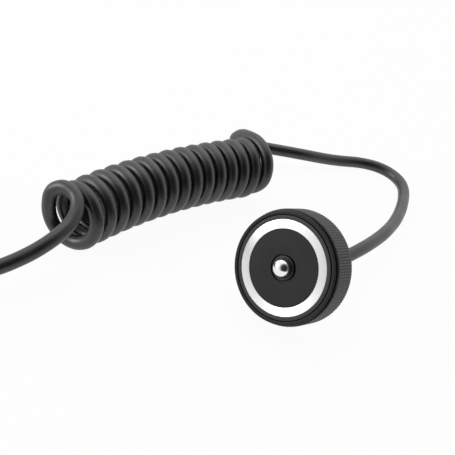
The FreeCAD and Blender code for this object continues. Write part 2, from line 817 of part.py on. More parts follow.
def make_solder_pins():
    """Three pins through the board, one for each conductor."""
    pieces = []
    for index, (x, y) in enumerate(pin_places(), start=1):
        pieces.append(primitive(
            "Cylinder",
            f"solder_pin_{index}",
            {"Radius": S.pin_radius, "Height": S.board_thickness + S.pin_proud * 2},
            (x, y, -board_back - S.pin_proud),
        ))
    return fused("solder_pins", pieces)


def make_release_contacts():
    """Two studs on the board that the contact plate meets at full press."""
    pieces = []
    for name, side in (("left", -1), ("right", 1)):
        pieces.append(primitive(
            "Cylinder",
            f"release_stud_{name}",
            {"Radius": S.stud_radius, "Height": stud_height},
            (stud_circle * side, 0, -board_front),
        ))
    return fused("release_contacts", pieces)


def make_focus_leaf():
    """Springy strip that the contact plate meets half way down. It points down, clear of the stakes."""
    body = new_body("focus_leaf")
    reach = stud_circle - S.stud_radius
    knee = post_circle - S.leaf_foot
    end = post_circle
    rise = -plate_back - S.focus_travel - S.leaf_thickness
    sketch = outline_sketch(body, "leaf_outline", "YZ_Plane", [
        (-end, -board_front),
        (-knee, -board_front),
        (-reach, rise),
        (-reach, rise + S.leaf_thickness),
        (-knee, S.leaf_thickness - board_front),
        (-end, S.leaf_thickness - board_front),
    ])
    pad = body.newObject("PartDesign::Pad", "leaf")
    pad.Profile = sketch
    pad.Length = S.leaf_width.value
    pad.setExpression("Length", S.leaf_width.text)
    pad.SideType = "Symmetric"
    doc.recompute()
    return body


def make_conductors():
    """Three insulated conductors, from the strain relief's neck to the solder pins."""
    middle = (floor_depth + channel_bottom).value / 2
    pin_foot = (board_back + S.pin_proud).value
    start = S.wire_start.value
    far = -pin_distance.value
    for name, side in (("common", -1), ("focus", 0), ("release", 1)):
        y = side * S.wire_spacing.value
        path = [
            Vector(start, y, -neck_top.value),
            Vector(start, y, -middle),
            Vector(far, y, -middle),
            Vector(far, y, -pin_foot),
        ]
        seat_in_head(placed_shape(f"{name}_conductor", bent_wire(path, S.wire_radius.value)))


# ---------------------------------------------------------------- strain relief
def make_strain_relief():
    """Moulded boot on the cord: a neck in the back wall, a collar, and a grooved taper."""
    body = new_body("strain_relief")
    collar_end = S.body_depth + S.boot_collar_length
    neck = S.neck_radius - S.slip_gap
    taper = revolve(body, "boot_turned", [
        (0, -boot_end),
        (boot_tip_radius, -boot_end),
        (boot_root_radius, -collar_end),
        (boot_collar_radius, -collar_end),
        (boot_collar_radius, -S.body_depth),
        (neck, -S.body_depth),
        (neck, -neck_top),
        (0, -neck_top),
    ])
    ribbed_length = S.boot_length - S.boot_collar_length
    pitch = ribbed_length / (S.boot_groove_count + 1)
    fall = (boot_root_radius - boot_tip_radius) / ribbed_length
    for index in range(int(S.boot_groove_count.value)):
        start = pitch * (index + 1) - S.boot_groove_width / 2
        end = start + S.boot_groove_width
        root = boot_root_radius - fall * (start + S.boot_groove_width / 2) - S.boot_groove_depth
        outside = boot_collar_radius
        sketch = outline_sketch(body, f"boot_groove_outline_{index + 1}", "XZ_Plane", [
            (root, -collar_end - start),
            (outside, -collar_end - start),
            (outside, -collar_end - end),
            (root, -collar_end - end),
        ])
        groove = body.newObject("PartDesign::Groove", f"boot_groove_{index + 1}")
        groove.Profile = sketch
        groove.ReferenceAxis = (sketch, ["V_Axis"])
        groove.Angle = 360
        doc.recompute()
    print(f"strain relief: grooves take {taper.Shape.Volume - body.Shape.Volume:.1f} mm3")
    return body


# ---------------------------------------------------------------- cord
def coil_end(half):
    """One end of the curly cord's axis: its place, and the level directions along and across there."""
    turned_by = math.radians(S.coil_turned.value)
    bent_by = half / S.coil_bow.value
    along = Vector(math.sin(turned_by + bent_by), math.cos(turned_by + bent_by), 0)
    across = Vector(along.y, -along.x, 0)
    height = coil_outer.value + S.lying_gap.value
    middle = Vector(S.coil_middle_x.value, S.coil_middle_y.value, height)
    centre = middle + Vector(math.cos(turned_by), -math.sin(turned_by), 0) * S.coil_bow.value
    return centre - across * S.coil_bow.value, along, across


def make_cord_coil():
    """The curly cord's outer shape: one closed round solid, bowed to one side."""
    bent_by = S.coil_length / S.coil_bow * Term.of(180) / math.pi
    coil = primitive("Torus", "cord_coil", {
        "Radius1": S.coil_bow,
        "Radius2": coil_outer,
        "Angle3": bent_by,
    })
    centre_x = S.coil_middle_x + part_of(S.coil_bow, "cos", S.coil_turned)
    centre_y = S.coil_middle_y - part_of(S.coil_bow, "sin", S.coil_turned)
    first_end = Term.of(180) - S.coil_turned - bent_by / 2
    bind_placement(coil, (centre_x, centre_y, coil_outer + S.lying_gap), (0, 0, 1), first_end)
    nodes.append(coil)
    return coil


def make_cord_tails():
    """The two smooth stretches: hand piece to coil, and coil to plug."""
    low = cord_radius.value + S.lying_gap.value
    half = S.coil_length.value / 2
    far_middle, far_along, far_across = coil_end(half)
    near_middle, near_along, near_across = coil_end(-half)
    exit_point = head_point(0, 0, -boot_end.value)
    exit_way = (head_point(0, 0, -boot_end.value - 1) - exit_point).normalize()
    far_end = far_middle - far_across * S.coil_radius.value
    near_end = near_middle + near_across * S.coil_radius.value
    plug_end = Vector(S.plug_x.value, S.plug_y.value, S.plug_shell_radius.value + S.lying_gap.value)
    head_route = [
        exit_point,
        exit_point + exit_way * 6.5,
        Vector(0.4, 30.6, 7.8),
        Vector(-0.9, 45.8, 6.9),
        Vector(-5.3, 62.0, 4.4),
        Vector(-12.0, 77.5, 2.3),
        Vector(-18.6, 87.1, low),
        Vector(-27.1, 88.8, low),
        Vector(-34.2, 84.0, low),
        Vector(-39.6, 73.2, 2.4),
        Vector(-45.6, 58.6, 5.6),
        far_end + far_along * 7.5,
        far_end,
    ]
    plug_route = [
        near_end,
        near_end - near_along * 4.5,
        Vector(-43.1, -52.5, 7.8),
        Vector(-44.4, -62.0, 5.4),
        Vector(-50.6, -72.0, 2.4),
        Vector(-59.4, -78.4, 2.3),
        plug_end + Vector(7.5, 0, 0),
        plug_end,
    ]
    placed_shape("cord_head_tail", tube("cord_head_tail", head_route, cord_radius.value))
    placed_shape("cord_plug_tail", tube("cord_plug_tail", plug_route, cord_radius.value))


# ---------------------------------------------------------------- plug
def notched(first, last, count, width, depth):
    """Corners of ring grooves, evenly apart, in the straight side between two corners."""
    radius, start = (Term.of(value) for value in first)
    slope = (last[0] - radius) / (last[1] - start)
    pitch = (last[1] - start) / (count + 1)
    corners = []
    for index in range(int(count.value)):
        near = pitch * (index + 1) - width / 2
        far = near + width
        corners += [
            (radius + slope * near, start + near),
            (radius + slope * near - depth, start + near),
            (radius + slope * far - depth, start + far),
            (radius + slope * far, start + far),
        ]
    return corners


def make_plug():
    """Boot, handle and the jack's stacked contacts, from the cord outwards."""
    shell_start = S.plug_boot_length
    shell_end = shell_start + S.plug_shell_length
    jack_start = shell_end + S.jack_collar_length
    sleeve_end = jack_start + S.jack_sleeve_length
    ring_start = sleeve_end + S.jack_band_length
    ring_end = ring_start + S.jack_ring_length
    tip_start = ring_end + S.jack_band_length
    tip_end = tip_start + S.jack_tip_length
    taper = S.plug_shell_taper
    shoulder = S.jack_tip_length / 8
    boot_root = (S.plug_shell_radius - S.plug_boot_inset, shell_start)
    grip_start = (S.plug_shell_radius, shell_start + taper)
    grip_end = (S.plug_shell_radius, shell_end - taper)
    pieces = {
        "plug_boot": [
            (0, 0),
            (boot_tip_radius, 0),
            *notched((boot_tip_radius, 0), boot_root, S.boot_groove_count,
                     S.boot_groove_width, S.boot_groove_depth),
            boot_root,
            (0, shell_start),
        ],
        "plug_shell": [
            (0, shell_start),
            (S.plug_shell_radius - taper / 2, shell_start),
            grip_start,
            *notched(grip_start, grip_end, S.plug_grip_count, S.plug_grip_width,
                     S.plug_grip_depth),
            grip_end,
            (S.plug_shell_radius - taper / 2, shell_end),
            (0, shell_end),
        ],
        "jack_sleeve": [
            (0, shell_end),
            (S.jack_collar_radius, shell_end),
            (S.jack_collar_radius, jack_start),
            (S.jack_radius, jack_start),
            (S.jack_radius, sleeve_end),
            (0, sleeve_end),
        ],
        "jack_rear_band": band(sleeve_end, ring_start),
        "jack_ring": band(ring_start, ring_end),
        "jack_front_band": band(ring_end, tip_start),
        "jack_tip": [
            (0, tip_start),
            (S.jack_radius, tip_start),
            (S.jack_radius, tip_start + shoulder),
            (S.jack_waist_radius, tip_start + shoulder * 2),
            (S.jack_radius, tip_start + shoulder * 4),
            (S.jack_point_radius, tip_end),
            (0, tip_end),
        ],
    }
    for label, outline in pieces.items():
        seat_in_plug(turned(label, outline))


def band(start, end):
    """Outline of a plain round length of the jack."""
    return [(0, start), (S.jack_radius, start), (S.jack_radius, end), (0, end)]


# ---------------------------------------------------------------- assembly
for make in (
    make_front_cap,
    make_rear_housing,
    make_grip_ring,
    make_face_carrier,
    make_trim_ring,
    make_face_disc,
    make_guide_bush,
    make_push_button,
    make_retaining_clip,
    make_insulating_collar,
    make_contact_plate,
    make_return_spring,
    make_spring_seat,
    make_contact_board,
    make_solder_pins,
    make_release_contacts,
    make_focus_leaf,
    make_seal_ring,
    make_strain_relief,
):
    seat_in_head(make())
make_conductors()
make_cord_coil()
make_cord_tails()
make_plug()
doc.recompute()

# ---------------------------------------------------------------- checks and export
for obj in doc.Objects:
    if "Invalid" in obj.State or "Error" in obj.State:
        raise RuntimeError(f"{obj.Label} did not compute: {obj.State}")
os.makedirs("parts", exist_ok=True)
for node in nodes:
    shape = node.Shape
    if shape.isNull() or not shape.isValid() or not shape.Solids:
        raise RuntimeError(f"{node.Label} has no valid solid")
    shape.exportStep(f"parts/{node.Label}.step")
box = Part.Compound([node.Shape for node in nodes]).BoundBox
print(f"{len(nodes)} nodes, box {box.XLength:.1f} x {box.YLength:.1f} x {box.ZLength:.1f} mm, floor {box.ZMin:.3f}")
print("exit point", head_point(0, 0, -boot_end.value))
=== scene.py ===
"""Electric hand release for a camera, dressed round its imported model.

A round, straight-knurled hand piece with a ball-nosed push button stands on its rim. Its curly cord
lies beside it and ends in a 2.5 mm jack plug. Lengths are in metres, and sizes are written as
millimetres times MM.
"""

import logging
import math
from dataclasses import dataclass
from enum import Enum

import bmesh
import bpy
from mathutils import Matrix, Vector

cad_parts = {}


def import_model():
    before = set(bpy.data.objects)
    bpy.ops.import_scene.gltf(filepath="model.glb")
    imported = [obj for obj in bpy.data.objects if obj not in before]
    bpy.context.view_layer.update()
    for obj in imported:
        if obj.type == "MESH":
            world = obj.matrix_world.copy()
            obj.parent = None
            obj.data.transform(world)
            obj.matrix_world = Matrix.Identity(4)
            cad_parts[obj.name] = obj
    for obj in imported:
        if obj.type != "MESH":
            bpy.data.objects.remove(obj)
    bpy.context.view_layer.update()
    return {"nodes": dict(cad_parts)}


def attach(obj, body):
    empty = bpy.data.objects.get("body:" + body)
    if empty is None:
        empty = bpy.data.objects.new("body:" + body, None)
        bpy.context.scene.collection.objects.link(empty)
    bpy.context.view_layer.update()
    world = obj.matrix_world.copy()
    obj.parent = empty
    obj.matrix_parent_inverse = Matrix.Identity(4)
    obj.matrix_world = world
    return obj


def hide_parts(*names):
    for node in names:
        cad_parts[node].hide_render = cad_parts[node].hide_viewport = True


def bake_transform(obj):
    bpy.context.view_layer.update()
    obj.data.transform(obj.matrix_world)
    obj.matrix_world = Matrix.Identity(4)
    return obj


LOG = logging.getLogger("hand_release")
MM = 0.001
SHARP_ANGLE = math.radians(32)  # an edge steeper than this shows as an edge
ON_AXIS = 1e-7  # a point of an outline nearer to the axis than this is on it
MOST_OF_HALF = 0.49  # the share of a side that one rounded corner may take
LATHE_UV = "turning"  # the UV map that runs round and along a turned surface
CREST = "crest"  # the attribute that tells the knurl's crests from its grooves
CUT = "cut"  # the attribute that says how far the knurl cuts a point of the grip ring's section
ROUND_THE_LATHE = 0.25  # a quarter turn, from the UV map's tangent to the run of the lathe marks
COLOUR_DRIFT = 7 * MM  # the size of the patches that colour and roughness drift over
WELD = 0.5e-6  # how near two points of the grip ring are one
GROOVE_RIM = 0.15  # the rounding at the top of a groove in a soft moulding, in millimetres
GROOVE_FLOOR = 0.12  # the rounding at its floor, in millimetres
PATTERN_LOW, PATTERN_HIGH = 0.3, 0.7  # most of a noise pattern lies between these
HAIRLINE_STRETCH = (1.0, 0.12, 1.0)  # what draws the specks of a pattern out into scratches
Profile = list[tuple[float, float, float]]  # radius, height and corner radius of each corner


# ---------------------------------------------------------------- small helpers


def linear(colour: str) -> tuple[float, float, float, float]:
    """Turns an sRGB hex colour into linear light.

    Args:
        colour: The colour as "#rrggbb".

    Returns:
        Red, green, blue and alpha, from 0 to 1.
    """
    parts = [int(colour[i : i + 2], 16) / 255 for i in (1, 3, 5)]
    light = [c / 12.92 if c <= 0.04045 else ((c + 0.055) / 1.055) ** 2.4 for c in parts]
    return (*light, 1.0)


def add_node(tree: bpy.types.NodeTree, kind: str, inputs: dict | None = None, **settings) -> bpy.types.Node:
    """Adds one node, with its settings, values and links.

    Args:
        tree: The shader or geometry tree.
        kind: The node's type name.
        inputs: What goes into each input, by the input's name or index: a socket is linked, and
            anything else is its value.
        **settings: The node's own properties.

    Returns:
        The new node.
    """
    node = tree.nodes.new(kind)
    for key, value in settings.items():
        setattr(node, key, value)
    for key, value in (inputs or {}).items():
        if isinstance(value, bpy.types.NodeSocket):
            tree.links.new(value, node.inputs[key])
        else:
            node.inputs[key].default_value = value
    return node


def cleared_tree(owner: bpy.types.ID) -> bpy.types.NodeTree:
    """Gives a material or the world a node tree with nothing in it.

    Args:
        owner: The material or world.

    Returns:
        The empty tree.
    """
    owner.use_nodes = True
    owner.node_tree.nodes.clear()
    return owner.node_tree


def link_new(name: str, data: bpy.types.ID) -> bpy.types.Object:
    """Puts data into the scene as a new object at the origin.

    Args:
        name: The object's name.
        data: A mesh, curve, light or camera.

    Returns:
        The new object.
    """
    obj = bpy.data.objects.new(name, data)
    bpy.context.scene.collection.objects.link(obj)
    return obj


class Line(Enum):
    """How a curve goes through its points."""

    RUNS = "POLY"
    SMOOTH = "NURBS"


def round_curve(name: str, points: list[Vector], radius: float, roundness: int,
                line: Line) -> bpy.types.Curve:
    """Makes a round wire or cord with closed ends.

    Args:
        name: The curve's name.
        points: The points of its one line, in metres.
        radius: Half its thickness, in metres.
        roundness: How finely its section is cut, as a bevel resolution.
        line: How it goes through the points.

    Returns:
        The curve.
    """
    curve = bpy.data.curves.new(name, "CURVE")
    curve.dimensions = "3D"
    curve.bevel_depth = radius
    curve.bevel_resolution = roundness
    curve.use_fill_caps = True
    spline = curve.splines.new(line.value)
    spline.points.add(len(points) - 1)
    for spot, point in zip(spline.points, points):
        spot.co = (*point, 1.0)
    return curve


def evaluated_mesh(holder: bpy.types.Object) -> bpy.types.Mesh:
    """Takes the plain mesh of an object, and the object out of the scene.

    Args:
        holder: An object with modifiers, or a curve with a thickness.

    Returns:
        The mesh, with all of that in it.
    """
    depsgraph = bpy.context.evaluated_depsgraph_get()
    mesh = bpy.data.meshes.new_from_object(holder.evaluated_get(depsgraph), depsgraph=depsgraph)
    holder.modifiers.clear()
    bpy.data.objects.remove(holder)
    return mesh


def placed_mesh(build: bmesh.types.BMesh, mesh: bpy.types.Mesh, place: Matrix) -> bpy.types.Mesh:
    """Puts a closed shape in its place, with its faces outwards and smooth except at its edges.

    Args:
        build: The shape, which is freed.
        mesh: The mesh that takes it.
        place: Where it goes.

    Returns:
        The mesh, with its place in its vertices.
    """
    bmesh.ops.transform(build, matrix=place, verts=build.verts)
    bmesh.ops.recalc_face_normals(build, faces=build.faces)
    for face in build.faces:
        face.smooth = True
    build.to_mesh(mesh)
    build.free()
    mesh.set_sharp_from_angle(angle=SHARP_ANGLE)
    return mesh


def filleted(corners: Profile, closed: bool, steps: int) -> list[tuple[float, float]]:
    """Rounds the corners of a turned outline.

    Args:
        corners: Radius, height and corner radius of each corner.
        closed: True if the outline runs back to its first corner.
        steps: How many runs make a rounded corner.

    Returns:
        Radius and height of each point.
    """
    made = []
    count = len(corners)
    for i, (radius, height, fillet) in enumerate(corners):
        here = Vector((radius, height))
        if not fillet or (not closed and i in (0, count - 1)):
            made.append((radius, height))
            continue
        before = Vector(corners[i - 1][:2]) - here
        after = Vector(corners[(i + 1) % count][:2]) - here
        half = before.angle(after) / 2
        reach = min(fillet / math.tan(half), before.length * MOST_OF_HALF, after.length * MOST_OF_HALF)
        size = reach * math.tan(half)
        middle = here + (before.normalized() + after.normalized()).normalized() * size / math.sin(half)
        start = here + before.normalized() * reach - middle
        end = here + after.normalized() * reach - middle
        turn = start.angle(end)
        for k in range(steps + 1):
            share = k / steps
            spot = (start * math.sin((1 - share) * turn) + end * math.sin(share * turn)) / math.sin(turn)
            made.append(tuple(middle + spot))
    return made


def turned_mesh(name: str, outline: list[tuple[float, float]], closed: bool, place: Matrix,
                segments: int) -> bpy.types.Mesh:
    """Turns an outline about its axis into a closed mesh with a UV map that follows the lathe marks.

    Args:
        name: The mesh's name.
        outline: Radius and height of each point, in metres. An open one starts and ends on the axis.
        closed: True for a ring, whose outline is a loop.
        place: Where the turned shape goes.
        segments: How many flats make a full turn.

    Returns:
        The mesh, with its place in its vertices.
    """
    build = bmesh.new()
    uv_map = build.loops.layers.uv.new(LATHE_UV)
    rings = []
    lengths = [0.0]
    for i, (radius, height) in enumerate(outline):
        if i:
            lengths.append(lengths[-1] + math.dist(outline[i - 1], outline[i]))
        if radius < ON_AXIS:
            rings.append([build.verts.new((0.0, 0.0, height))] * segments)
            continue
        angles = [math.tau * k / segments for k in range(segments)]
        rings.append([build.verts.new((radius * math.cos(a), radius * math.sin(a), height)) for a in angles])
    count = len(rings)
    for i in range(count if closed else count - 1):
        low, high = rings[i], rings[(i + 1) % count]
        top = lengths[i + 1] if i + 1 < count else lengths[i] + math.dist(outline[-1], outline[0])
        for k in range(segments):
            following = (k + 1) % segments
            spots = [(low[k], k, lengths[i]), (low[following], k + 1, lengths[i]),
                     (high[following], k + 1, top), (high[k], k, top)]
            kept = [s for n, s in enumerate(spots) if s[0] not in [t[0] for t in spots[:n]]]
            face = build.faces.new([s[0] for s in kept])
            for loop, spot in zip(face.loops, kept):
                loop[uv_map].uv = (spot[1] / segments, spot[2] / MM)
    return placed_mesh(build, bpy.data.meshes.new(name), place)


def dressed_object(name: str, mesh: bpy.types.Mesh, finish: "Finish", node: str) -> bpy.types.Object:
    """Makes a piece of the release from its mesh, in its material.

    Args:
        name: The piece's name.
        mesh: The finished mesh.
        finish: What its surface is.
        node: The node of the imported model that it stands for.

    Returns:
        The piece, which rides on nothing yet.
    """
    obj = link_new(name, mesh)
    mesh.materials.clear()
    mesh.materials.append(finish.material())
    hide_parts(node)
    return obj


def made_object(name: str, mesh: bpy.types.Mesh, finish: "Finish", body: "Body", node: str) -> bpy.types.Object:
    """Makes a piece of the release from its mesh and puts it on its body.

    Args:
        name: The piece's name.
        mesh: The finished mesh.
        finish: What its surface is.
        body: The body that it moves with.
        node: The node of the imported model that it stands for.

    Returns:
        The piece.
    """
    obj = dressed_object(name, mesh, finish, node)
    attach(obj, body.value)
    LOG.info("%s: %d faces on %s", name, len(mesh.polygons), body.value)
    return obj


class Body(Enum):
    """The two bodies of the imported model."""

    HAND_PIECE = "hand_piece"
    BUTTON = "button"


# ---------------------------------------------------------------- finishes


class Surface(Enum):
    """How a surface was made, which decides its pattern."""

    TURNED = "rings left by a lathe tool"
    MOULDED = "the even grain of a mould"
    EXTRUDED = "the soft skin of an extruded jacket"
    POLISHED = "hairline scratches in a mirror"
    DRAWN = "bright wire and stamped sheet"
    KNURLED = "bare crests between dark grooves"


@dataclass(frozen=True)
class Finish:
    """One real material with its surface.

    Attributes:
        name: The material's name.
        colour: Its main colour, in sRGB.
        second: The colour that its pattern drifts to, in sRGB.
        surface: How it was made.
        roughness: The middle of its roughness.
        grain: The size of its finest pattern, in millimetres.
        relief: The height of that pattern, in millimetres.
        metallic: 1 for bare metal.
        specular: The shader's specular level, 0.5 for plain plastics.
        anisotropic: How far the lathe marks draw a highlight out.
        spread: How far the roughness drifts either way.
    """

    name: str
    colour: str
    second: str
    surface: Surface
    roughness: float
    grain: float
    relief: float
    metallic: float = 0.0
    specular: float = 0.5
    anisotropic: float = 0.0
    spread: float = 0.06

    def pattern(self, tree: bpy.types.NodeTree) -> tuple[bpy.types.NodeSocket, bpy.types.NodeSocket]:
        """Makes the two patterns of this surface.

        Args:
            tree: The material's node tree.

        Returns:
            The fine pattern, for relief, and the one that colour and roughness drift with.
        """
        if self.surface is Surface.TURNED:
            lathe = add_node(tree, "ShaderNodeUVMap", uv_map=LATHE_UV).outputs["UV"]
            along = add_node(tree, "ShaderNodeSeparateXYZ", {0: lathe}).outputs["Y"]
            rings = add_node(tree, "ShaderNodeTexNoise", {"W": along, "Scale": 1 / self.grain, "Detail": 4.0,
                                                          "Roughness": 0.7}, noise_dimensions="1D")
            return rings.outputs["Fac"], rings.outputs["Fac"]
        place = add_node(tree, "ShaderNodeTexCoord").outputs["Object"]
        if self.surface is Surface.POLISHED:
            stretched = add_node(tree, "ShaderNodeMapping", {"Vector": place, "Scale": HAIRLINE_STRETCH})
            fine = add_node(tree, "ShaderNodeTexNoise", {"Vector": stretched.outputs[0], "Detail": 2.0,
                                                         "Scale": 1 / (self.grain * MM)})
        else:
            fine = add_node(tree, "ShaderNodeTexNoise", {"Vector": place, "Scale": 1 / (self.grain * MM),
                                                         "Detail": 2.0, "Roughness": 0.6})
        if self.surface is Surface.KNURLED:
            drift = add_node(tree, "ShaderNodeAttribute", attribute_name=CREST)
        else:
            drift = add_node(tree, "ShaderNodeTexNoise", {"Vector": place, "Scale": 1 / COLOUR_DRIFT,
                                                          "Detail": 3.0})
        return fine.outputs["Fac"], drift.outputs["Fac"]

    def material(self) -> bpy.types.Material:
        """Builds the material, or finds it if it is there.

        Returns:
            The material.
        """
        found = bpy.data.materials.get(self.name)
        if found:
            return found
        made = bpy.data.materials.new(self.name)
        tree = cleared_tree(made)
        fine, drift = self.pattern(tree)
        colour = add_node(tree, "ShaderNodeMix", {0: drift, 6: linear(self.colour), 7: linear(self.second)},
                          data_type="RGBA")
        rough = add_node(tree, "ShaderNodeMapRange", {"Value": drift, "From Min": PATTERN_LOW,
                                                      "From Max": PATTERN_HIGH,
                                                      "To Min": self.roughness - self.spread,
                                                      "To Max": self.roughness + self.spread})
        relief = add_node(tree, "ShaderNodeBump", {"Height": fine, "Distance": self.relief * MM})
        shader = add_node(tree, "ShaderNodeBsdfPrincipled",
                          {"Base Color": colour.outputs[2], "Roughness": rough.outputs[0],
                           "Normal": relief.outputs[0], "Metallic": self.metallic,
                           "Specular IOR Level": self.specular, "Anisotropic": self.anisotropic,
                           "Anisotropic Rotation": ROUND_THE_LATHE})
        if self.anisotropic:
            along = add_node(tree, "ShaderNodeTangent", direction_type="UV_MAP", uv_map=LATHE_UV)
            tree.links.new(along.outputs[0], shader.inputs["Tangent"])
        add_node(tree, "ShaderNodeOutputMaterial", {"Surface": shader.outputs[0]})
        return made


# The rings of a fine cut and the grain of a mould are drawn coarser than they are, so that they show.

# Black anodised aluminium, turned: a satin near-black that picks up soft light along its edges.
ANODISED = Finish("black_anodised_aluminium", "#0f0f0f", "#151515", Surface.TURNED, 0.42, 0.12, 0.002,
                  specular=0.3)
# The same, knurled: the crests are rubbed a little paler than the grooves.
KNURLED = Finish("knurled_black_anodised_aluminium", "#1a1a1a", "#363636", Surface.KNURLED, 0.45, 0.2, 0.003)
# Rear housing, moulded: as dark as the cap beside it, with a fine even grain.
HOUSING_ABS = Finish("black_moulded_abs", "#0f0f0f", "#151515", Surface.MOULDED, 0.42, 0.2, 0.004,
                     specular=0.3)
# The bezel that holds the face: moulded with a fine grain, so it is matt and even.
BEZEL_PLASTIC = Finish("satin_black_polycarbonate", "#1e1e1e", "#272727", Surface.MOULDED, 0.5, 0.12, 0.003)
# Bright aluminium ring, faced on a lathe: its rings draw the highlight out into a fan.
FACED = Finish("faced_bright_aluminium", "#ececec", "#fafafa", Surface.TURNED, 0.34, 0.16, 0.004,
               metallic=1.0, anisotropic=0.9)
# Matt black lacquer on the face: a fine even tooth and almost no shine.
LACQUER = Finish("matt_black_lacquer", "#202020", "#262626", Surface.MOULDED, 0.62, 0.15, 0.004, specular=0.3)
# Black anodised bush, turned and worn by the button: a little glossier than what surrounds it.
WORN_ANODISED = Finish("worn_black_anodised_aluminium", "#121212", "#1d1d1d", Surface.TURNED, 0.33, 0.1,
                       0.002)
# Hard-chromed steel ball nose, polished: a mirror with hairlines from fingertips.
CHROMED = Finish("polished_hard_chrome", "#eaeaea", "#f5f5f5", Surface.POLISHED, 0.15, 0.25, 0.0006,
                 metallic=1.0, spread=0.03)
# Soft polyurethane jacket, extruded and heat-set: a dull skin that shines a little along its rims.
JACKET = Finish("black_polyurethane_jacket", "#141414", "#1a1a1a", Surface.EXTRUDED, 0.41, 0.25, 0.002,
                specular=0.8)
# Soft PVC of the strain reliefs, moulded on the cord: a dull black with a soft, uneven grain.
SOFT_PVC = Finish("soft_black_pvc", "#1a1a1a", "#212121", Surface.MOULDED, 0.5, 0.3, 0.008)
# Hard PVC of the plug's body, moulded with a spark-eroded grain that breaks up its shine.
PLUG_PVC = Finish("hard_black_pvc", "#1b1b1b", "#232323", Surface.MOULDED, 0.4, 0.35, 0.012)
# Nickel-plated brass of the jack, turned: a warm pale metal with fine bright rings.
NICKEL = Finish("nickel_plated_brass", "#cfc9bd", "#e2ddd2", Surface.TURNED, 0.2, 0.1, 0.001, metallic=1.0,
                anisotropic=0.3)
# Acetal bands between the jack's contacts: black rings, a little glossier than the handle.
ACETAL = Finish("black_acetal", "#141414", "#1c1c1c", Surface.TURNED, 0.35, 0.2, 0.001)
# The next eight are for parts that show only where the head is opened.
# Spring steel, drawn or stamped: a plain grey metal.
SPRING_STEEL = Finish("spring_steel", "#9a9a98", "#b4b4b2", Surface.DRAWN, 0.3, 0.2, 0.001, metallic=1.0)
# Brass, stamped: yellow, with the dull sheen of a rolled sheet.
BRASS = Finish("stamped_brass", "#b08d47", "#c7a65e", Surface.DRAWN, 0.32, 0.3, 0.001, metallic=1.0)
# Natural acetal, moulded: a warm milky white.
WHITE_ACETAL = Finish("white_acetal", "#dcd9cf", "#e7e4dc", Surface.MOULDED, 0.42, 0.3, 0.003)
# Nitrile rubber, moulded: black and almost without shine.
RUBBER = Finish("nitrile_rubber", "#131313", "#1b1b1b", Surface.MOULDED, 0.6, 0.2, 0.006)
# Phenolic laminate, pressed: brown, with a hard smooth surface.
LAMINATE = Finish("brown_phenolic_laminate", "#6b4a24", "#7d5a30", Surface.MOULDED, 0.38, 0.4, 0.002)
# PVC insulation, extruded: three plain colours with a soft shine.
WIRE_BLACK = Finish("black_wire_insulation", "#181818", "#202020", Surface.EXTRUDED, 0.4, 0.3, 0.002)
WIRE_WHITE = Finish("white_wire_insulation", "#d8d6d0", "#e6e4de", Surface.EXTRUDED, 0.4, 0.3, 0.002)
WIRE_RED = Finish("red_wire_insulation", "#9c1f1c", "#b12a25", Surface.EXTRUDED, 0.4, 0.3, 0.002)


# ---------------------------------------------------------------- the room


@dataclass(frozen=True)
class Viewpoint:
    """The camera, by where it looks from.

    Attributes:
        target: The point that it looks at.
        azimuth: Its direction round the release, in degrees: 0 looks along +Y.
        elevation: Its height above the horizon, in degrees.
        roll: How far it is turned about its own line of sight, in degrees.
        distance: How far it is from the target.
        lens: Its focal length on a 36 mm sensor.
    """

    target: tuple[float, float, float] = (-25.283 * MM, 0.818 * MM, 9.125 * MM)
    azimuth: float = 33.121
    elevation: float = 34.068
    roll: float = 17.619
    distance: float = 247.249 * MM
    lens: float = 71.21

    def axes(self) -> tuple[Vector, Vector, Vector]:
        """Works out which way the camera is turned.

        Returns:
            Its right, up and back directions.
        """
        around, above = math.radians(self.azimuth), math.radians(self.elevation)
        back = Vector((math.sin(around) * math.cos(above), -math.cos(around) * math.cos(above),
                       math.sin(above)))
        level = Vector((math.cos(around), math.sin(around), 0.0))
        steep = back.cross(level)
        tilt = math.radians(self.roll)
        right = level * math.cos(tilt) + steep * math.sin(tilt)
        return right, back.cross(right), back

    def build(self) -> None:
        """Makes the camera and gives it to the scene."""
        data = bpy.data.cameras.new("viewpoint")
        data.lens = self.lens
        data.sensor_width = 36.0
        data.clip_start, data.clip_end = 0.01, 20.0
        camera = link_new("viewpoint", data)
        right, above, back = self.axes()
        spot = Vector(self.target) + back * self.distance
        camera.matrix_world = Matrix.Translation(spot) @ Matrix((right, above, back)).transposed().to_4x4()
        bpy.context.scene.camera = camera


@dataclass(frozen=True)
class Softbox:
    """One soft lamp that looks at the release.

    Attributes:
        name: The lamp's name.
        spot: Where it hangs.
        width: The side of its square face.
        power: Its power in watts.
    """

    name: str
    spot: tuple[float, float, float]
    width: float
    power: float

    def build(self, target: Vector) -> None:
        """Hangs the lamp and aims it.

        Args:
            target: What it looks at.
        """
        data = bpy.data.lights.new(self.name, "AREA")
        data.shape = "SQUARE"
        data.size = self.width
        data.energy = self.power
        lamp = link_new(self.name, data)
        away = Vector(self.spot) - target
        lamp.matrix_world = Matrix.Translation(self.spot) @ away.to_track_quat("Z", "Y").to_matrix().to_4x4()


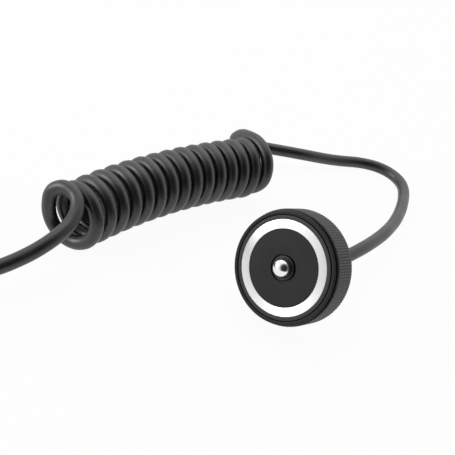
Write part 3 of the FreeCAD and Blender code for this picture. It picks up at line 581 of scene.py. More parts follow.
@dataclass(frozen=True)
class Studio:
    """A pale table top in a pale room with a dark side.

    Attributes:
        floor_half: Half the table top's side.
        floor_colour: The table top, in sRGB.
        floor_glow: The share of the table top's white that doesn't depend on light, where only the
            camera or a reflection sees it.
        room: The room's brightness.
        dark: The brightness of the room's dark side, which a dark doorway gives a real studio.
        dark_way: The direction of that side.
        dusk: Where the room starts to darken towards it, as the cosine of the angle from its middle.
        night: Where it is fully dark, as the same cosine.
        lamps: The soft lamps.
    """

    floor_half: float = 2.0
    floor_colour: str = "#f2f2f2"
    floor_glow: float = 0.95
    room: float = 1.05
    dark: float = 0.03
    dark_way: tuple[float, float, float] = (0.66, -0.42, 0.62)
    dusk: float = 0.3
    night: float = 0.9
    lamps: tuple[Softbox, ...] = (
        Softbox("overhead_softbox", spot=(-0.35, 0.30, 0.75), width=0.8, power=1.6),
        Softbox("front_softbox", spot=(-0.70, -0.68, 0.3), width=0.5, power=4.0))

    def seen_directly(self, tree: bpy.types.NodeTree) -> bpy.types.NodeSocket:
        """Tells rays that see a surface from those that only gather its light.

        Args:
            tree: The material's node tree.

        Returns:
            1 for the camera, a reflection or a transmission, and 0 for the rest.
        """
        path = add_node(tree, "ShaderNodeLightPath")
        gloss = add_node(tree, "ShaderNodeMath", {0: path.outputs["Is Camera Ray"],
                                                  1: path.outputs["Is Glossy Ray"]}, operation="MAXIMUM")
        return add_node(tree, "ShaderNodeMath", {0: gloss.outputs[0],
                                                 1: path.outputs["Is Transmission Ray"]},
                        operation="MAXIMUM").outputs[0]

    def build_floor(self) -> None:
        """Lays the table top, which keeps the release's shadow."""
        half = self.floor_half
        mesh = bpy.data.meshes.new("table_top")
        mesh.from_pydata([(-half, -half, 0), (half, -half, 0), (half, half, 0), (-half, half, 0)], [],
                         [(0, 1, 2, 3)])
        made = bpy.data.materials.new("white_acrylic_sheet")
        tree = cleared_tree(made)
        lit = add_node(tree, "ShaderNodeBsdfDiffuse", {"Color": linear(self.floor_colour)})
        glow = add_node(tree, "ShaderNodeEmission", {"Color": (1, 1, 1, 1), "Strength": 1.0})
        share = add_node(tree, "ShaderNodeMath", {0: self.seen_directly(tree), 1: self.floor_glow},
                         operation="MULTIPLY")
        both = add_node(tree, "ShaderNodeMixShader", {0: share.outputs[0], 1: lit.outputs[0],
                                                      2: glow.outputs[0]})
        add_node(tree, "ShaderNodeOutputMaterial", {"Surface": both.outputs[0]})
        mesh.materials.append(made)
        link_new("table_top", mesh)

    def build_room(self) -> None:
        """Makes the room: white to the camera, and soft light with one dark side to everything else."""
        world = bpy.data.worlds.new("room")
        bpy.context.scene.world = world
        tree = cleared_tree(world)
        way = add_node(tree, "ShaderNodeTexCoord").outputs["Generated"]
        facing = add_node(tree, "ShaderNodeVectorMath", {0: way, 1: Vector(self.dark_way).normalized()},
                          operation="DOT_PRODUCT")
        shade = add_node(tree, "ShaderNodeMapRange", {"Value": facing.outputs["Value"],
                                                      "From Min": self.dusk, "From Max": self.night,
                                                      "To Min": self.room, "To Max": self.dark},
                         interpolation_type="SMOOTHSTEP")
        path = add_node(tree, "ShaderNodeLightPath")
        strength = add_node(tree, "ShaderNodeMix", {0: path.outputs["Is Camera Ray"], 2: shade.outputs[0],
                                                    3: 1.0})
        light = add_node(tree, "ShaderNodeBackground", {"Color": (1, 1, 1, 1),
                                                        "Strength": strength.outputs[0]})
        add_node(tree, "ShaderNodeOutputWorld", {"Surface": light.outputs[0]})

    def build(self, target: Vector) -> None:
        """Builds the room, its table top and its lamps.

        Args:
            target: What the lamps look at.
        """
        bpy.context.scene.view_settings.view_transform = "Standard"
        self.build_floor()
        self.build_room()
        for lamp in self.lamps:
            lamp.build(target)


# ---------------------------------------------------------------- the hand piece


@dataclass(frozen=True)
class HeadPlace:
    """Where the hand piece stands: it leans back with the lower edge of its rear rim on the table.

    Attributes:
        lean: How far its face looks up, in degrees.
        face_y: Where the middle of its face is.
        face_height: How high that is.
    """

    lean: float = 18.8
    face_y: float = -8.0687 * MM
    face_height: float = 16.8917 * MM

    def matrix(self) -> Matrix:
        """Gives the head's own axes: Z out of the face, X to the right and Y up.

        Returns:
            The place of those axes.
        """
        tilt = math.radians(self.lean)
        right, above = Vector((1, 0, 0)), Vector((0, math.sin(tilt), math.cos(tilt)))
        axes = Matrix((right, above, right.cross(above))).transposed().to_4x4()
        return Matrix.Translation((0, self.face_y, self.face_height)) @ axes


@dataclass(frozen=True)
class Lathe:
    """Turns pieces from outlines in millimetres, all in one place and on one body.

    Attributes:
        place: Where the turned pieces go.
        body: The body that they move with.
        segments: How many flats make a full turn.
        steps: How many runs make a rounded corner.
    """

    place: Matrix
    body: Body
    segments: int
    steps: int

    def turn(self, name: str, corners: Profile, finish: Finish, node: str, slot: str,
             closed: bool = True) -> bpy.types.Object:
        """Turns one piece.

        Args:
            name: The piece's name.
            corners: Radius, height and corner radius of each corner, in millimetres.
            finish: What it is made of.
            node: The node that it stands for.
            slot: A material slot's name, which is not used.
            closed: True for a ring, False for an outline that starts and ends on the axis.

        Returns:
            The piece.
        """
        sizes = [tuple(value * MM for value in corner) for corner in corners]
        mesh = turned_mesh(name, filleted(sizes, closed, self.steps), closed, self.place, self.segments)
        return made_object(name, mesh, finish, self.body, node)


@dataclass(frozen=True)
class Shell:
    """The head's outer shell: the cap in front, and the housing that the grip ring turns on.

    All its sizes are in millimetres. Heights are measured out of the face, which is at 0.

    Attributes:
        lip: The radius of the cap's lip.
        lip_bore: The radius inside the lip, where the bezel sits.
        lip_back: The height of the lip's back.
        gap: The radius of the dark gap between the lip and the grip ring.
        grip_front: The height where the grip ring starts.
        seat: The radius that the grip ring turns on.
        split: The height of the cap's back.
        step: The radius of the step that the bezel rests on.
        step_height: The height of that step.
        joint: How far the housing starts behind the cap.
        rim: The radius of the housing's rear rim.
        grip_back: The height where the grip ring ends and the rim starts.
        back: The height of the housing's back.
        wall: The radius inside the housing.
        floor: The height of its floor inside.
        boot_seat: The radius that the strain relief covers.
        cord_hole: The radius of the cord's hole.
    """

    lip: float = 14.5
    lip_bore: float = 13.5
    lip_back: float = -0.4
    gap: float = 14.05
    grip_front: float = -1.1
    seat: float = 13.9
    split: float = -1.6
    step: float = 12.3
    step_height: float = -0.8
    joint: float = 0.06
    rim: float = 14.6
    grip_back: float = -8.8
    back: float = -9.2
    wall: float = 13.0
    floor: float = -8.4
    boot_seat: float = 3.95
    cord_hole: float = 3.0

    def build(self, lathe: Lathe) -> None:
        """Turns the cap and the housing.

        Args:
            lathe: The head's lathe.
        """
        lathe.turn("cap", [(self.lip_bore, 0, 0.2), (self.lip, 0, 0.25), (self.lip, self.lip_back, 0.08),
                           (self.gap, self.lip_back, 0), (self.gap, self.grip_front, 0),
                           (self.seat, self.grip_front, 0), (self.seat, self.split, 0),
                           (self.step, self.split, 0), (self.step, self.step_height, 0),
                           (self.lip_bore, self.step_height, 0.05)], ANODISED, "front_cap", "black_anodised")
        front = self.split - self.joint
        lathe.turn("housing", [(self.seat, front, 0), (self.seat, self.grip_back, 0),
                               (self.rim, self.grip_back, 0.05), (self.rim, self.back, 0.15),
                               (self.boot_seat, self.back, 0), (self.cord_hole, self.back, 0),
                               (self.cord_hole, self.floor, 0), (self.wall, self.floor, 0),
                               (self.wall, front, 0)], HOUSING_ABS, "rear_housing", "black_plastic")


@dataclass(frozen=True)
class GripRing:
    """The knurled ring that the fingers turn: straight grooves round a plain bore.

    Attributes:
        crest: Its radius over the knurl.
        land: The radius of the plain land at each end.
        bore: The radius of its bore.
        front: The height of its front face, below the head's face.
        back: The height of its back face.
        land_width: How wide each land is.
        run_out: How far the knurl takes to fade out at each end.
        teeth: How many grooves run round it.
        groove_depth: How deep a groove is.
        groove_share: How much of the pitch a groove takes.
        flats: How many flats make one tooth.
    """

    crest: float = 14.95 * MM
    land: float = 14.7 * MM
    bore: float = 13.93 * MM
    front: float = -1.1 * MM
    back: float = -8.8 * MM
    land_width: float = 0.3 * MM
    run_out: float = 0.15 * MM
    teeth: int = 128
    groove_depth: float = 0.22 * MM
    groove_share: float = 0.72
    flats: int = 8

    def section(self) -> bpy.types.Mesh:
        """Makes the ring's section as a row of points, each with how far the knurl cuts it.

        Returns:
            A mesh of loose points, radius in X and height in Z.
        """
        high, low, fade = self.front - self.land_width, self.back + self.land_width, self.run_out
        corners = [(self.bore, self.front, 0.0), (self.land, self.front, 0.0), (self.land, high, 0.0),
                   (self.crest - fade, high, 0.0), (self.crest, high - fade, 1.0),
                   (self.crest, high - 2 * fade, 1.0), (self.crest, (high + low) / 2, 1.0),
                   (self.crest, low + 2 * fade, 1.0), (self.crest, low + fade, 1.0),
                   (self.crest - fade, low, 0.0), (self.land, low, 0.0), (self.land, self.back, 0.0),
                   (self.bore, self.back, 0.0)]
        mesh = bpy.data.meshes.new("grip_section")
        mesh.from_pydata([(radius, 0, height) for radius, height, _ in corners], [], [])
        cut = mesh.attributes.new(CUT, "FLOAT", "POINT")
        cut.data.foreach_set("value", [share for _, _, share in corners])
        return mesh

    def tree(self) -> tuple[bpy.types.NodeTree, dict[str, str]]:
        """Builds the node tree that turns the section and cuts the knurl.

        Returns:
            The tree and the identifier of each named input.
        """
        tree = bpy.data.node_groups.new("straight_knurl", "GeometryNodeTree")
        sockets = {"Section": "NodeSocketGeometry", "Rows": "NodeSocketInt", "Teeth": "NodeSocketInt",
                   "Flats per tooth": "NodeSocketInt", "Groove depth": "NodeSocketFloat",
                   "Groove share": "NodeSocketFloat", "Finish": "NodeSocketMaterial"}
        names = {name: tree.interface.new_socket(name, in_out="INPUT", socket_type=kind).identifier
                 for name, kind in sockets.items()}
        tree.interface.new_socket("Ring", in_out="OUTPUT", socket_type="NodeSocketGeometry")
        given = add_node(tree, "NodeGroupInput").outputs
        sums = {"rows": given["Rows"], "teeth": given["Teeth"], "flats": given["Flats per tooth"],
                "index": add_node(tree, "GeometryNodeInputIndex").outputs[0]}
        # Each line makes one value from two others: which column and row of the grid a point is in,
        # the angle of its column, and how far its column is from the middle of a groove.
        for name, operation, first, second in (
                ("around", "MULTIPLY", "teeth", "flats"), ("grid_rows", "ADD", "rows", 1.0),
                ("grid_columns", "ADD", "around", 1.0), ("place", "DIVIDE", "index", "grid_rows"),
                ("column", "FLOOR", "place", 0.0), ("grid_row", "MODULO", "index", "grid_rows"),
                ("row", "MODULO", "grid_row", "rows"), ("turn", "DIVIDE", "column", "around"),
                ("angle", "MULTIPLY", "turn", math.tau), ("across", "COSINE", "angle", 0.0),
                ("along", "SINE", "angle", 0.0), ("tooth", "DIVIDE", "column", "flats"),
                ("phase", "FRACT", "tooth", 0.0), ("beside", "SUBTRACT", "phase", 0.5),
                ("away", "ABSOLUTE", "beside", 0.0), ("from_groove", "MULTIPLY", "away", 2.0)):
            sums[name] = add_node(tree, "ShaderNodeMath", {0: sums.get(first, first),
                                                           1: sums.get(second, second)},
                                  operation=operation).outputs[0]
        grid = add_node(tree, "GeometryNodeMeshGrid", {"Vertices X": sums["grid_columns"],
                                                       "Vertices Y": sums["grid_rows"]})
        depth = add_node(tree, "ShaderNodeMapRange", {"Value": sums["from_groove"], "From Min": 0.0,
                                                      "From Max": given["Groove share"], "To Min": 1.0,
                                                      "To Max": 0.0})
        position = add_node(tree, "GeometryNodeInputPosition")
        spot = add_node(tree, "GeometryNodeSampleIndex", {"Geometry": given["Section"], "Index": sums["row"],
                                                          "Value": position.outputs[0]},
                        data_type="FLOAT_VECTOR")
        stored = add_node(tree, "GeometryNodeInputNamedAttribute", {"Name": CUT}, data_type="FLOAT")
        cut = add_node(tree, "GeometryNodeSampleIndex", {"Geometry": given["Section"], "Index": sums["row"],
                                                         "Value": stored.outputs[0]}, data_type="FLOAT")
        bite = add_node(tree, "ShaderNodeMath", {0: depth.outputs[0], 1: cut.outputs[0]},
                        operation="MULTIPLY")
        sunk = add_node(tree, "ShaderNodeMath", {0: bite.outputs[0], 1: given["Groove depth"]},
                        operation="MULTIPLY")
        bare = add_node(tree, "ShaderNodeMath", {0: cut.outputs[0], 1: bite.outputs[0]}, operation="SUBTRACT")
        parts = add_node(tree, "ShaderNodeSeparateXYZ", {0: spot.outputs[0]}).outputs
        radius = add_node(tree, "ShaderNodeMath", {0: parts["X"], 1: sunk.outputs[0]}, operation="SUBTRACT")
        way = add_node(tree, "ShaderNodeCombineXYZ", {"X": sums["across"], "Y": sums["along"]})
        out = add_node(tree, "ShaderNodeVectorMath", {0: way.outputs[0], "Scale": radius.outputs[0]},
                       operation="SCALE")
        high = add_node(tree, "ShaderNodeCombineXYZ", {"Z": parts["Z"]})
        turned = add_node(tree, "ShaderNodeVectorMath", {0: out.outputs[0], 1: high.outputs[0]},
                          operation="ADD")
        placed = add_node(tree, "GeometryNodeSetPosition", {"Geometry": grid.outputs["Mesh"],
                                                            "Position": turned.outputs[0]})
        marked = add_node(tree, "GeometryNodeStoreNamedAttribute",
                          {"Geometry": placed.outputs[0], "Name": CREST, "Value": bare.outputs[0]},
                          data_type="FLOAT", domain="POINT")
        closed = add_node(tree, "GeometryNodeMergeByDistance", {"Geometry": marked.outputs[0],
                                                                "Distance": WELD})
        plain = add_node(tree, "GeometryNodeRealizeInstances", {"Geometry": closed.outputs[0]})
        dressed = add_node(tree, "GeometryNodeSetMaterial", {"Geometry": plain.outputs[0],
                                                             "Material": given["Finish"]})
        add_node(tree, "NodeGroupOutput", {0: dressed.outputs[0]})
        return tree, names

    def build(self, place: Matrix) -> None:
        """Makes the ring.

        Args:
            place: The head's place.
        """
        section = self.section()
        tree, names = self.tree()
        mesh = baked("grip_ring_mesh", section, tree,
                     {names["Rows"]: len(section.vertices), names["Teeth"]: self.teeth,
                      names["Flats per tooth"]: self.flats, names["Groove depth"]: self.groove_depth,
                      names["Groove share"]: self.groove_share, names["Finish"]: KNURLED.material()}, place)
        made_object("knurled_ring", mesh, KNURLED, Body.HAND_PIECE, "grip_ring")


def baked(name: str, start: bpy.types.Mesh, tree: bpy.types.NodeTree, values: dict[str, object],
          place: Matrix) -> bpy.types.Mesh:
    """Runs a geometry tree on a mesh and keeps the plain result.

    Args:
        name: The result's name.
        start: The mesh that the tree starts from.
        tree: The tree.
        values: The value of each input, by its identifier.
        place: Where the result goes.

    Returns:
        The mesh, closed, with its faces outwards and its place in its vertices.
    """
    holder = link_new(name + "_start", start)
    modifier = holder.modifiers.new("tree", "NODES")
    modifier.node_group = tree
    for identifier, value in values.items():
        modifier[identifier] = value
    mesh = evaluated_mesh(holder)
    mesh.name = name
    build = bmesh.new()
    build.from_mesh(mesh)
    return placed_mesh(build, mesh, place)


@dataclass(frozen=True)
class Face:
    """What the head shows in front: the bezel, the bright trim ring, the face and its bush.

    All its sizes are in millimetres. Heights are measured out of the face, which is at 0.

    Attributes:
        bezel: The radius of the bezel.
        bezel_back: The height of its flange's back.
        well: The radius of the well in it, where the trim ring lies.
        well_floor: The height of the well's floor.
        under: The height of the bezel's back.
        hole: The radius of its hole.
        trim: The trim ring's radius.
        trim_bore: The radius inside it.
        disc: The face's radius.
        disc_bore: The radius of the hole in the face.
        thickness: How thick the trim ring and the face are.
        bush: The bush's radius where it shows.
        bush_bore: The radius of its bore.
        bush_front: How far it stands out.
        flange: The radius of the flange that holds it from behind.
        flange_front: The height of that flange's front.
        flange_back: The height of its back.
    """

    bezel: float = 13.3
    bezel_back: float = -0.78
    well: float = 12.28
    well_floor: float = -0.62
    under: float = -1.58
    hole: float = 3.3
    trim: float = 12.27
    trim_bore: float = 9.97
    disc: float = 9.94
    disc_bore: float = 3.6
    thickness: float = 0.6
    bush: float = 3.1
    bush_bore: float = 2.6
    bush_front: float = 0.08
    flange: float = 4.4
    flange_front: float = -1.6
    flange_back: float = -2.3

    def build(self, lathe: Lathe) -> None:
        """Turns the four pieces.

        Args:
            lathe: The head's lathe.
        """
        lathe.turn("bezel", [(self.well, 0, 0.08), (self.bezel, 0, 0.12), (self.bezel, self.bezel_back, 0),
                             (self.well, self.bezel_back, 0), (self.well, self.under, 0),
                             (self.hole, self.under, 0), (self.hole, self.well_floor, 0),
                             (self.well, self.well_floor, 0)], BEZEL_PLASTIC, "face_carrier", "bezel_black")
        low = -self.thickness
        lathe.turn("trim_ring", [(self.trim_bore, 0, 0.08), (self.trim, 0, 0.08), (self.trim, low, 0),
                                 (self.trim_bore, low, 0)], FACED, "trim_ring", "brushed_trim")
        lathe.turn("face", [(self.disc_bore, 0, 0.06), (self.disc, 0, 0.05), (self.disc, low, 0),
                            (self.disc_bore, low, 0)], LACQUER, "face_disc", "matt_face")
        lathe.turn("bush", [(self.bush_bore, self.bush_front, 0.15), (self.bush, self.bush_front, 0.12),
                            (self.bush, self.flange_front, 0), (self.flange, self.flange_front, 0),
                            (self.flange, self.flange_back, 0), (self.bush_bore, self.flange_back, 0)],
                   WORN_ANODISED, "guide_bush", "dark_bush")


@dataclass(frozen=True)
class BallButton:
    """The ball-nosed button, which slides in the bush.

    All its sizes are in millimetres. Heights are measured out of the face, which is at 0.

    Attributes:
        radius: The radius of its nose and stem.
        middle: The height of the middle of the ball.
        runs: How many runs make a quarter of the ball.
        neck: The radius of the neck that the clip sits in.
        neck_front: The height where the neck starts.
        neck_back: The height where it ends.
        collar_back: The height where the collar behind it ends.
        tail: The radius of the thin tail.
        tail_end: The height of the tail's end.
    """

    radius: float = 2.55
    middle: float = 0.3
    runs: int = 24
    neck: float = 1.9
    neck_front: float = -2.32
    neck_back: float = -2.83
    collar_back: float = -3.13
    tail: float = 1.2
    tail_end: float = -4.63

    def build(self, lathe: Lathe) -> None:
        """Turns the button.

        Args:
            lathe: A lathe on the button's body.
        """
        angles = [math.pi / 2 * k / self.runs for k in range(self.runs + 1)]
        nose = [(self.radius * math.sin(a), self.middle + self.radius * math.cos(a), 0.0) for a in angles]
        stem = [(self.radius, self.neck_front, 0), (self.neck, self.neck_front, 0),
                (self.neck, self.neck_back, 0), (self.radius, self.neck_back, 0),
                (self.radius, self.collar_back, 0), (self.tail, self.collar_back, 0),
                (self.tail, self.tail_end, 0.1), (0, self.tail_end, 0)]
        lathe.turn("ball_button", nose + stem, CHROMED, "push_button", "polished_steel", closed=False)


@dataclass(frozen=True)
class ReturnSpring:
    """The spring that pushes the button out, with close turns at its ends and open ones between.

    It stands on its seat and reaches up under the button, and it rides on neither body.
    All its sizes are in millimetres. Heights are measured out of the face, which is at 0.

    Attributes:
        radius: The radius of a turn, to the middle of the wire.
        wire: The radius of the wire.
        bottom: The height of the wire's middle on the seat.
        top: The height of the wire's middle under the button's contact plate.
        turns: How many turns it has.
        travel: How far the button presses it. Its turns are evenly apart there.
        runs: How many straight runs make it.
        roundness: How finely its round section is cut.
    """

    radius: float = 2.35
    wire: float = 0.15
    bottom: float = -6.92
    top: float = -3.967
    turns: float = 4.0
    travel: float = 1.5
    runs: int = 120
    roundness: int = 2

    def points(self) -> list[Vector]:
        """Gives the points of the wire's middle, from the seat up.

        Returns:
            The points.
        """
        height = self.top - self.bottom
        made = []
        for k in range(self.runs + 1):
            share = k / self.runs
            pressed = self.travel * share * share * (3 - 2 * share)
            angle = math.tau * self.turns * (height * share - pressed) / (height - self.travel)
            made.append(Vector((self.radius * math.cos(angle), self.radius * math.sin(angle),
                                self.bottom + height * share)))
        return made

    def build(self, place: Matrix) -> None:
        """Winds the spring.

        Args:
            place: The head's place.
        """
        points = [place @ (point * MM) for point in self.points()]
        curve = round_curve("spring_wire", points, self.wire * MM, self.roundness, Line.RUNS)
        mesh = evaluated_mesh(link_new("spring_wire_start", curve))
        spring = dressed_object("coil_spring", mesh, SPRING_STEEL, "return_spring")
        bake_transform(spring)
        LOG.info("coil_spring: %d faces between both bodies", len(mesh.polygons))


@dataclass(frozen=True)
class HandPiece:
    """The whole round hand piece with its strain relief.

    Attributes:
        place: Where it stands.
        segments: How many flats make a full turn of its rings.
        steps: How many runs make a rounded corner.
    """

    place: HeadPlace
    segments: int = 256
    steps: int = 5

    def build(self) -> None:
        """Builds the shell, the grip ring, the face, the button, its spring and the strain relief."""
        place = self.place.matrix()
        lathe = Lathe(place, Body.HAND_PIECE, self.segments, self.steps)
        shell = Shell()
        shell.build(lathe)
        GripRing().build(place)
        Face().build(lathe)
        BallButton().build(Lathe(place, Body.BUTTON, self.segments, self.steps))
        ReturnSpring().build(place)
        back = place @ Matrix.Translation((0, 0, shell.back * MM)) @ Matrix.Rotation(math.pi, 4, "X")
        StrainRelief(length=12.0, root=3.3, tip=2.3, collar=3.9, collar_length=1.2).build(
            "strain_relief_boot", back, "strain_relief")


# ---------------------------------------------------------------- boots and grooves


def grooved(first: tuple[float, float], last: tuple[float, float], count: int, width: float,
            depth: float) -> Profile:
    """Gives the corners of ring grooves, evenly apart, in a straight side of an outline.

    Args:
        first: Radius and height where the side starts.
        last: Radius and height where it ends.
        count: How many grooves there are.
        width: How wide a groove is.
        depth: How deep a groove is.

    Returns:
        Radius, height and corner radius of each corner, without the side's own two ends.
    """
    (radius, start), (last_radius, end) = first, last
    slope = (last_radius - radius) / (end - start)
    pitch = (end - start) / (count + 1)
    corners = []
    for k in range(count):
        near = start + pitch * (k + 1) - width / 2
        far = near + width
        corners += [(radius + slope * (height - start) - cut, height, rounding)
                    for height, cut, rounding in ((near, 0.0, GROOVE_RIM), (near, depth, GROOVE_FLOOR),
                                                  (far, depth, GROOVE_FLOOR), (far, 0.0, GROOVE_RIM))]
    return corners


@dataclass(frozen=True)
class StrainRelief:
    """A tapered, grooved boot that stiffens the cord where it leaves something hard.

    All its sizes are in millimetres.

    Attributes:
        length: How long it is.
        root: Its radius at the wide end.
        tip: Its radius at the narrow end.
        collar: The radius of the collar at its wide end, or 0 for none.
        collar_length: How long the collar is.
        grooves: How many grooves run round it.
        width: How wide a groove is.
        depth: How deep a groove is.
        bore: The radius of the cord in it.
        segments: How many flats make a full turn.
        steps: How many runs make a rounded corner.
    """

    length: float
    root: float
    tip: float
    collar: float = 0.0
    collar_length: float = 0.0
    grooves: int = 4
    width: float = 0.8
    depth: float = 0.45
    bore: float = 1.75
    segments: int = 64
    steps: int = 3

    def outline(self) -> Profile:
        """Gives the outline from the wide end to the tip.

        Returns:
            Radius, distance along the boot and corner radius of each corner.
        """
        corners = [(self.bore, 0.0, 0.0)]
        if self.collar_length:
            corners += [(self.collar, 0.0, 0.0), (self.collar, self.collar_length, 0.35)]
        corners.append((self.root, self.collar_length, 0.0))
        corners += grooved((self.root, self.collar_length), (self.tip, self.length), self.grooves,
                           self.width, self.depth)
        return corners + [(self.tip, self.length, 0.3), (self.bore, self.length, 0.0)]

    def build(self, name: str, place: Matrix, node: str) -> bpy.types.Object:
        """Makes the boot, with its wide end at the place's origin and its length along Z.

        Args:
            name: The piece's name.
            place: Where it goes.
            node: The node that it stands for.

        Returns:
            The piece.
        """
        lathe = Lathe(place, Body.HAND_PIECE, self.segments, self.steps)
        return lathe.turn(name, self.outline(), SOFT_PVC, node, "soft_black")


# ---------------------------------------------------------------- the cord


@dataclass(frozen=True)
class CurlyCord:
    """The cord from the hand piece to the plug: one smooth line, curled in its middle.

    All its sizes are in millimetres.

    Attributes:
        radius: Half the cord's thickness.
        roundness: How finely its round section is cut.
        smoothness: How finely its line is cut between two points.
        middle: The middle of the curled part's axis, level.
        turned: How far the curled part is turned from +Y towards +X there, in degrees.
        bow: The radius of the gentle bow that it lies in.
        pitch: How far apart two turns are in its middle.
        loosening: Half of how much that grows over one turn, towards the plug.
        first: The curled part's end at the head, in turns from its middle.
        last: Its end at the plug, in turns from its middle.
        leaning: Where the turns are out of line, as in the end loop at the head: the turns from that
            end, how far the cord is pushed along the axis there and how far out.
        coil_radius: The radius of a turn, to the middle of the cord.
        per_turn: How many control points make a turn.
        low: The height of the middle of a cord that lies on the table.
        head_lead: How far the cord runs straight out of the hand piece.
        plug_lead: How far it runs straight into the plug.
        exit: Where the cord leaves the hand piece.
        way: Its direction there.
        plug_end: Where it goes into the plug.
    """

    radius: float = 1.9
    roundness: int = 5
    smoothness: int = 6
    middle: tuple[float, float] = (-49.25, 0.3)
    turned: float = 4.7
    bow: float = 168.0
    pitch: float = 4.7
    loosening: float = 0.027
    first: float = 7.5
    last: float = -7.5
    leaning: tuple[tuple[float, float, float], ...] = (
        (0.0, -0.3, 7.2), (0.125, -1.1, 2.0), (0.25, -0.5, 0.8), (0.375, 0.0, 0.9), (0.5, 0.0, 0.2),
        (0.625, -0.6, -1.1), (0.75, -0.4, 0.0), (1.0, 0.0, 0.0), (14.25, 0.0, 0.0))
    coil_radius: float = 7.3
    per_turn: int = 14
    low: float = 1.93
    head_lead: float = 6.5
    plug_lead: float = 7.5
    exit: tuple[float, float, float] = (0.0, 12.0003, 10.05963)
    way: tuple[float, float, float] = (0.0, 0.94665, -0.32227)
    plug_end: tuple[float, float, float] = (-76.0, -80.5, 4.23)

    def coil_point(self, turn: float, lean: float = 0.0, rise: float = 0.0) -> Vector:
        """Gives a point of the curled part.

        Args:
            turn: How many turns from the middle. A whole number is the side towards the head, and a
                quarter more is the top.
            lean: How far this point is pushed along the axis.
            rise: How far it is pushed out from the axis.

        Returns:
            The point.
        """
        along = self.pitch * turn - self.loosening * turn * turn + lean
        turned, bent = math.radians(self.turned), along / self.bow
        side = Vector((math.cos(turned), -math.sin(turned), 0))
        way = Vector((math.sin(turned), math.cos(turned), 0))
        axis = Vector((*self.middle, 0)) + side * (self.bow * (1 - math.cos(bent))) + way * (
            self.bow * math.sin(bent))
        out = side * math.cos(bent) - way * math.sin(bent)
        # The smooth line runs a little inside its points, so they stand that much further out.
        size = self.coil_radius / (0.5 + 0.5 * math.cos(math.pi / self.per_turn)) + rise
        angle = math.tau * turn
        height = self.coil_radius + self.low + size * math.sin(angle)
        return axis + out * (size * math.cos(angle)) + Vector((0, 0, height))

    def head_route(self) -> list[Vector]:
        """Gives the points from the hand piece to the curled part.

        Returns:
            The points, down to the table and back up to the first turn.
        """
        start, way = Vector(self.exit), Vector(self.way)
        low = self.low
        points = ((0.4, 30.6, 7.8), (-0.9, 45.8, 6.9), (-5.3, 62.0, 4.4), (-12.0, 77.5, 2.4),
                  (-18.6, 87.1, low), (-27.1, 88.8, low), (-34.2, 84.0, low), (-39.6, 73.2, 2.4),
                  (-45.6, 58.6, 5.6), (-56.8, 48.8, 4.5))
        return [start, start + way * self.head_lead, *(Vector(point) for point in points)]

    def leaned(self, share: float) -> tuple[float, float]:
        """Gives how far a turn is out of line.

        Args:
            share: The turns from the curled part's end at the head.

        Returns:
            How far the cord is pushed along the axis there, and how far out.
        """
        for (start, *low), (end, *high) in zip(self.leaning, self.leaning[1:]):
            if start <= share <= end:
                part = (share - start) / (end - start)
                return tuple(a + (b - a) * part for a, b in zip(low, high))
        return 0.0, 0.0

    def coil_points(self) -> list[Vector]:
        """Gives the points of the curled part, from the head's end to the plug's.

        Returns:
            The points. Those of the first loop lean over its neighbours, as the end of a curly cord does.
        """
        count = round((self.first - self.last) * self.per_turn)
        shares = [k / self.per_turn for k in range(count + 1)]
        return [self.coil_point(self.first - share, *self.leaned(share)) for share in shares]

    def plug_route(self) -> list[Vector]:
        """Gives the points from the curled part to the plug.

        Returns:
            The points, over the top of the last loop and then down to the table.
        """
        end = Vector(self.plug_end)
        points = ((-56.0, -37.1, 13.8), (-52.9, -35.6, 16.7), (-48.1, -35.1, 16.5), (-44.8, -37.3, 14.8),
                  (-43.1, -40.5, 13.2), (-42.1, -43.7, 12.2), (-41.5, -47.9, 10.9), (-42.1, -54.1, 8.4),
                  (-44.6, -62.5, 5.2), (-50.6, -72.0, 2.5), (-59.4, -78.4, 2.4))
        return [*(Vector(point) for point in points), end + Vector((self.plug_lead, 0, 0)), end]

    def build(self) -> bpy.types.Object:
        """Makes the cord as one smooth line with its thickness.

        Returns:
            The cord.
        """
        points = [point * MM for point in self.head_route() + self.coil_points() + self.plug_route()]
        curve = round_curve("cord", points, self.radius * MM, self.roundness, Line.SMOOTH)
        curve.resolution_u = self.smoothness
        line = curve.splines[0]
        line.order_u = 3
        line.use_endpoint_u = True
        line.use_smooth = True
        cord = link_new("curly_cord", curve)
        curve.materials.append(JACKET.material())
        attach(cord, Body.HAND_PIECE.value)
        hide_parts("cord_head_tail", "cord_coil", "cord_plug_tail")
        LOG.info("curly_cord: %d points", len(points))
        return cord


# ---------------------------------------------------------------- the plug


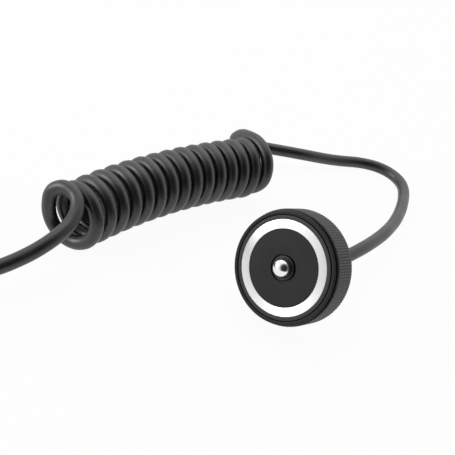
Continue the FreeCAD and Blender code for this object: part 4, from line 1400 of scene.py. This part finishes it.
@dataclass(frozen=True)
class Plug:
    """The straight plug at the cord's far end, along -X.

    All its sizes are in millimetres.

    Attributes:
        start: Where the cord goes into it.
        boot: How long its strain relief is.
        shell: The handle's radius.
        shell_end: The radius of the handle's two ends.
        shell_length: How long the handle is.
        taper: How long each end's taper is.
        grooves: How many finger grooves run round the handle.
        groove_width: How wide a finger groove is.
        groove_depth: How deep it is.
        bore: The radius of the hole in the handle.
        collar: The radius of the contact sleeve's collar.
        collar_length: How long the collar is.
        jack: The jack's radius.
        sleeve_length: How long the sleeve is.
        band_length: How long an insulating band is.
        ring_length: How long the contact ring is.
        tip_length: How long the tip is.
        shoulder_at: Where the tip's shoulder ends, as a share of its length.
        waist_at: Where its waist is, as a share.
        ball_at: Where its knob is widest, as a share.
        waist: The radius of the groove that a socket's spring drops into.
        ball: The radius of the tip's knob.
        point: The radius of its flat point.
        segments: How many flats make a full turn.
        steps: How many runs make a rounded corner.
    """

    start: tuple[float, float, float] = CurlyCord.plug_end
    boot: float = 11.0
    shell: float = 4.2
    shell_end: float = 3.6
    shell_length: float = 18.0
    taper: float = 1.2
    grooves: int = 5
    groove_width: float = 0.9
    groove_depth: float = 0.35
    bore: float = 1.2
    collar: float = 2.6
    collar_length: float = 1.2
    jack: float = 1.25
    sleeve_length: float = 5.4
    band_length: float = 0.7
    ring_length: float = 1.4
    tip_length: float = 2.8
    shoulder_at: float = 0.125
    waist_at: float = 0.3575
    ball_at: float = 0.67875
    waist: float = 0.85
    ball: float = 1.2
    point: float = 0.4
    segments: int = 64
    steps: int = 4

    def matrix(self) -> Matrix:
        """Gives the plug's own axes: Z runs along it, away from the cord.

        Returns:
            The place of those axes.
        """
        axes = Matrix(((0, 0, -1), (0, 1, 0), (1, 0, 0))).to_4x4()
        return Matrix.Translation(Vector(self.start) * MM) @ axes

    def build_handle(self, lathe: Lathe) -> list[bpy.types.Object]:
        """Builds the strain relief and the grooved handle.

        Args:
            lathe: The plug's lathe.

        Returns:
            The two pieces.
        """
        end = self.boot + self.shell_length
        first, last = (self.shell, self.boot + self.taper), (self.shell, end - self.taper)
        outline = [(self.bore, self.boot, 0), (self.shell_end, self.boot, 0.3), (*first, 0.4),
                   *grooved(first, last, self.grooves, self.groove_width, self.groove_depth),
                   (*last, 0.4), (self.shell_end, end, 0.3), (self.bore, end, 0)]
        relief = StrainRelief(length=self.boot, root=2.3, tip=3.3).build(
            "plug_strain_relief", lathe.place, "plug_boot")
        return [relief, lathe.turn("plug_body", outline, PLUG_PVC, "plug_shell", "plug_black")]

    def build_contacts(self, lathe: Lathe) -> list[bpy.types.Object]:
        """Builds the stacked contacts of the jack and the bands between them.

        Args:
            lathe: The plug's lathe.

        Returns:
            The five pieces.
        """
        made = []
        start = self.boot + self.shell_length
        foot = start + self.collar_length
        end = foot + self.sleeve_length
        sleeve = [(0, start, 0), (self.collar, start, 0.1), (self.collar, foot, 0.15), (self.jack, foot, 0),
                  (self.jack, end, 0), (0, end, 0)]
        made.append(lathe.turn("contact_sleeve", sleeve, NICKEL, "jack_sleeve", "jack_metal", closed=False))
        for name, length, finish, node, slot in (
                ("rear_band", self.band_length, ACETAL, "jack_rear_band", "jack_insulator"),
                ("contact_ring", self.ring_length, NICKEL, "jack_ring", "jack_metal"),
                ("front_band", self.band_length, ACETAL, "jack_front_band", "jack_insulator")):
            outline = [(0, end, 0), (self.jack, end, 0), (self.jack, end + length, 0), (0, end + length, 0)]
            made.append(lathe.turn(name, outline, finish, node, slot, closed=False))
            end += length
        tip = [(0, end, 0), (self.jack, end, 0), (self.jack, end + self.tip_length * self.shoulder_at, 0.1),
               (self.waist, end + self.tip_length * self.waist_at, 0.2),
               (self.ball, end + self.tip_length * self.ball_at, 0.25),
               (self.point, end + self.tip_length, 0.2), (0, end + self.tip_length, 0)]
        made.append(lathe.turn("contact_tip", tip, NICKEL, "jack_tip", "jack_metal", closed=False))
        return made

    def build(self) -> list[bpy.types.Object]:
        """Builds the plug.

        Returns:
            Its pieces.
        """
        lathe = Lathe(self.matrix(), Body.HAND_PIECE, self.segments, self.steps)
        return self.build_handle(lathe) + self.build_contacts(lathe)


# ---------------------------------------------------------------- inner parts


INNER_FINISHES = {
    "retaining_clip": SPRING_STEEL, "spring_seat": SPRING_STEEL, "contact_plate": BRASS,
    "focus_leaf": BRASS, "release_contacts": BRASS, "solder_pins": BRASS,
    "insulating_collar": WHITE_ACETAL, "contact_board": LAMINATE, "seal_ring": RUBBER,
    "common_conductor": WIRE_BLACK, "focus_conductor": WIRE_WHITE, "release_conductor": WIRE_RED,
}


def dress_inner_parts(nodes: dict[str, bpy.types.Object]) -> None:
    """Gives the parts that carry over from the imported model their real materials.

    Args:
        nodes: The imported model's nodes, by name.
    """
    for name, finish in INNER_FINISHES.items():
        for place in nodes[name].material_slots:
            place.material = finish.material()
        LOG.info("%s: %s", name, finish.name)


def main() -> None:
    """Builds the release round its frame, piece by piece."""
    logging.basicConfig(level=logging.INFO, format="%(name)s: %(message)s")
    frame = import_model()
    viewpoint = Viewpoint()
    viewpoint.build()
    cord = CurlyCord().build()
    Studio().build(Vector(viewpoint.target))
    HandPiece(HeadPlace()).build()
    plug = Plug().build()
    dress_inner_parts(frame["nodes"])
    LOG.info("%d materials", len(bpy.data.materials))


if __name__ == "__main__":
    main()
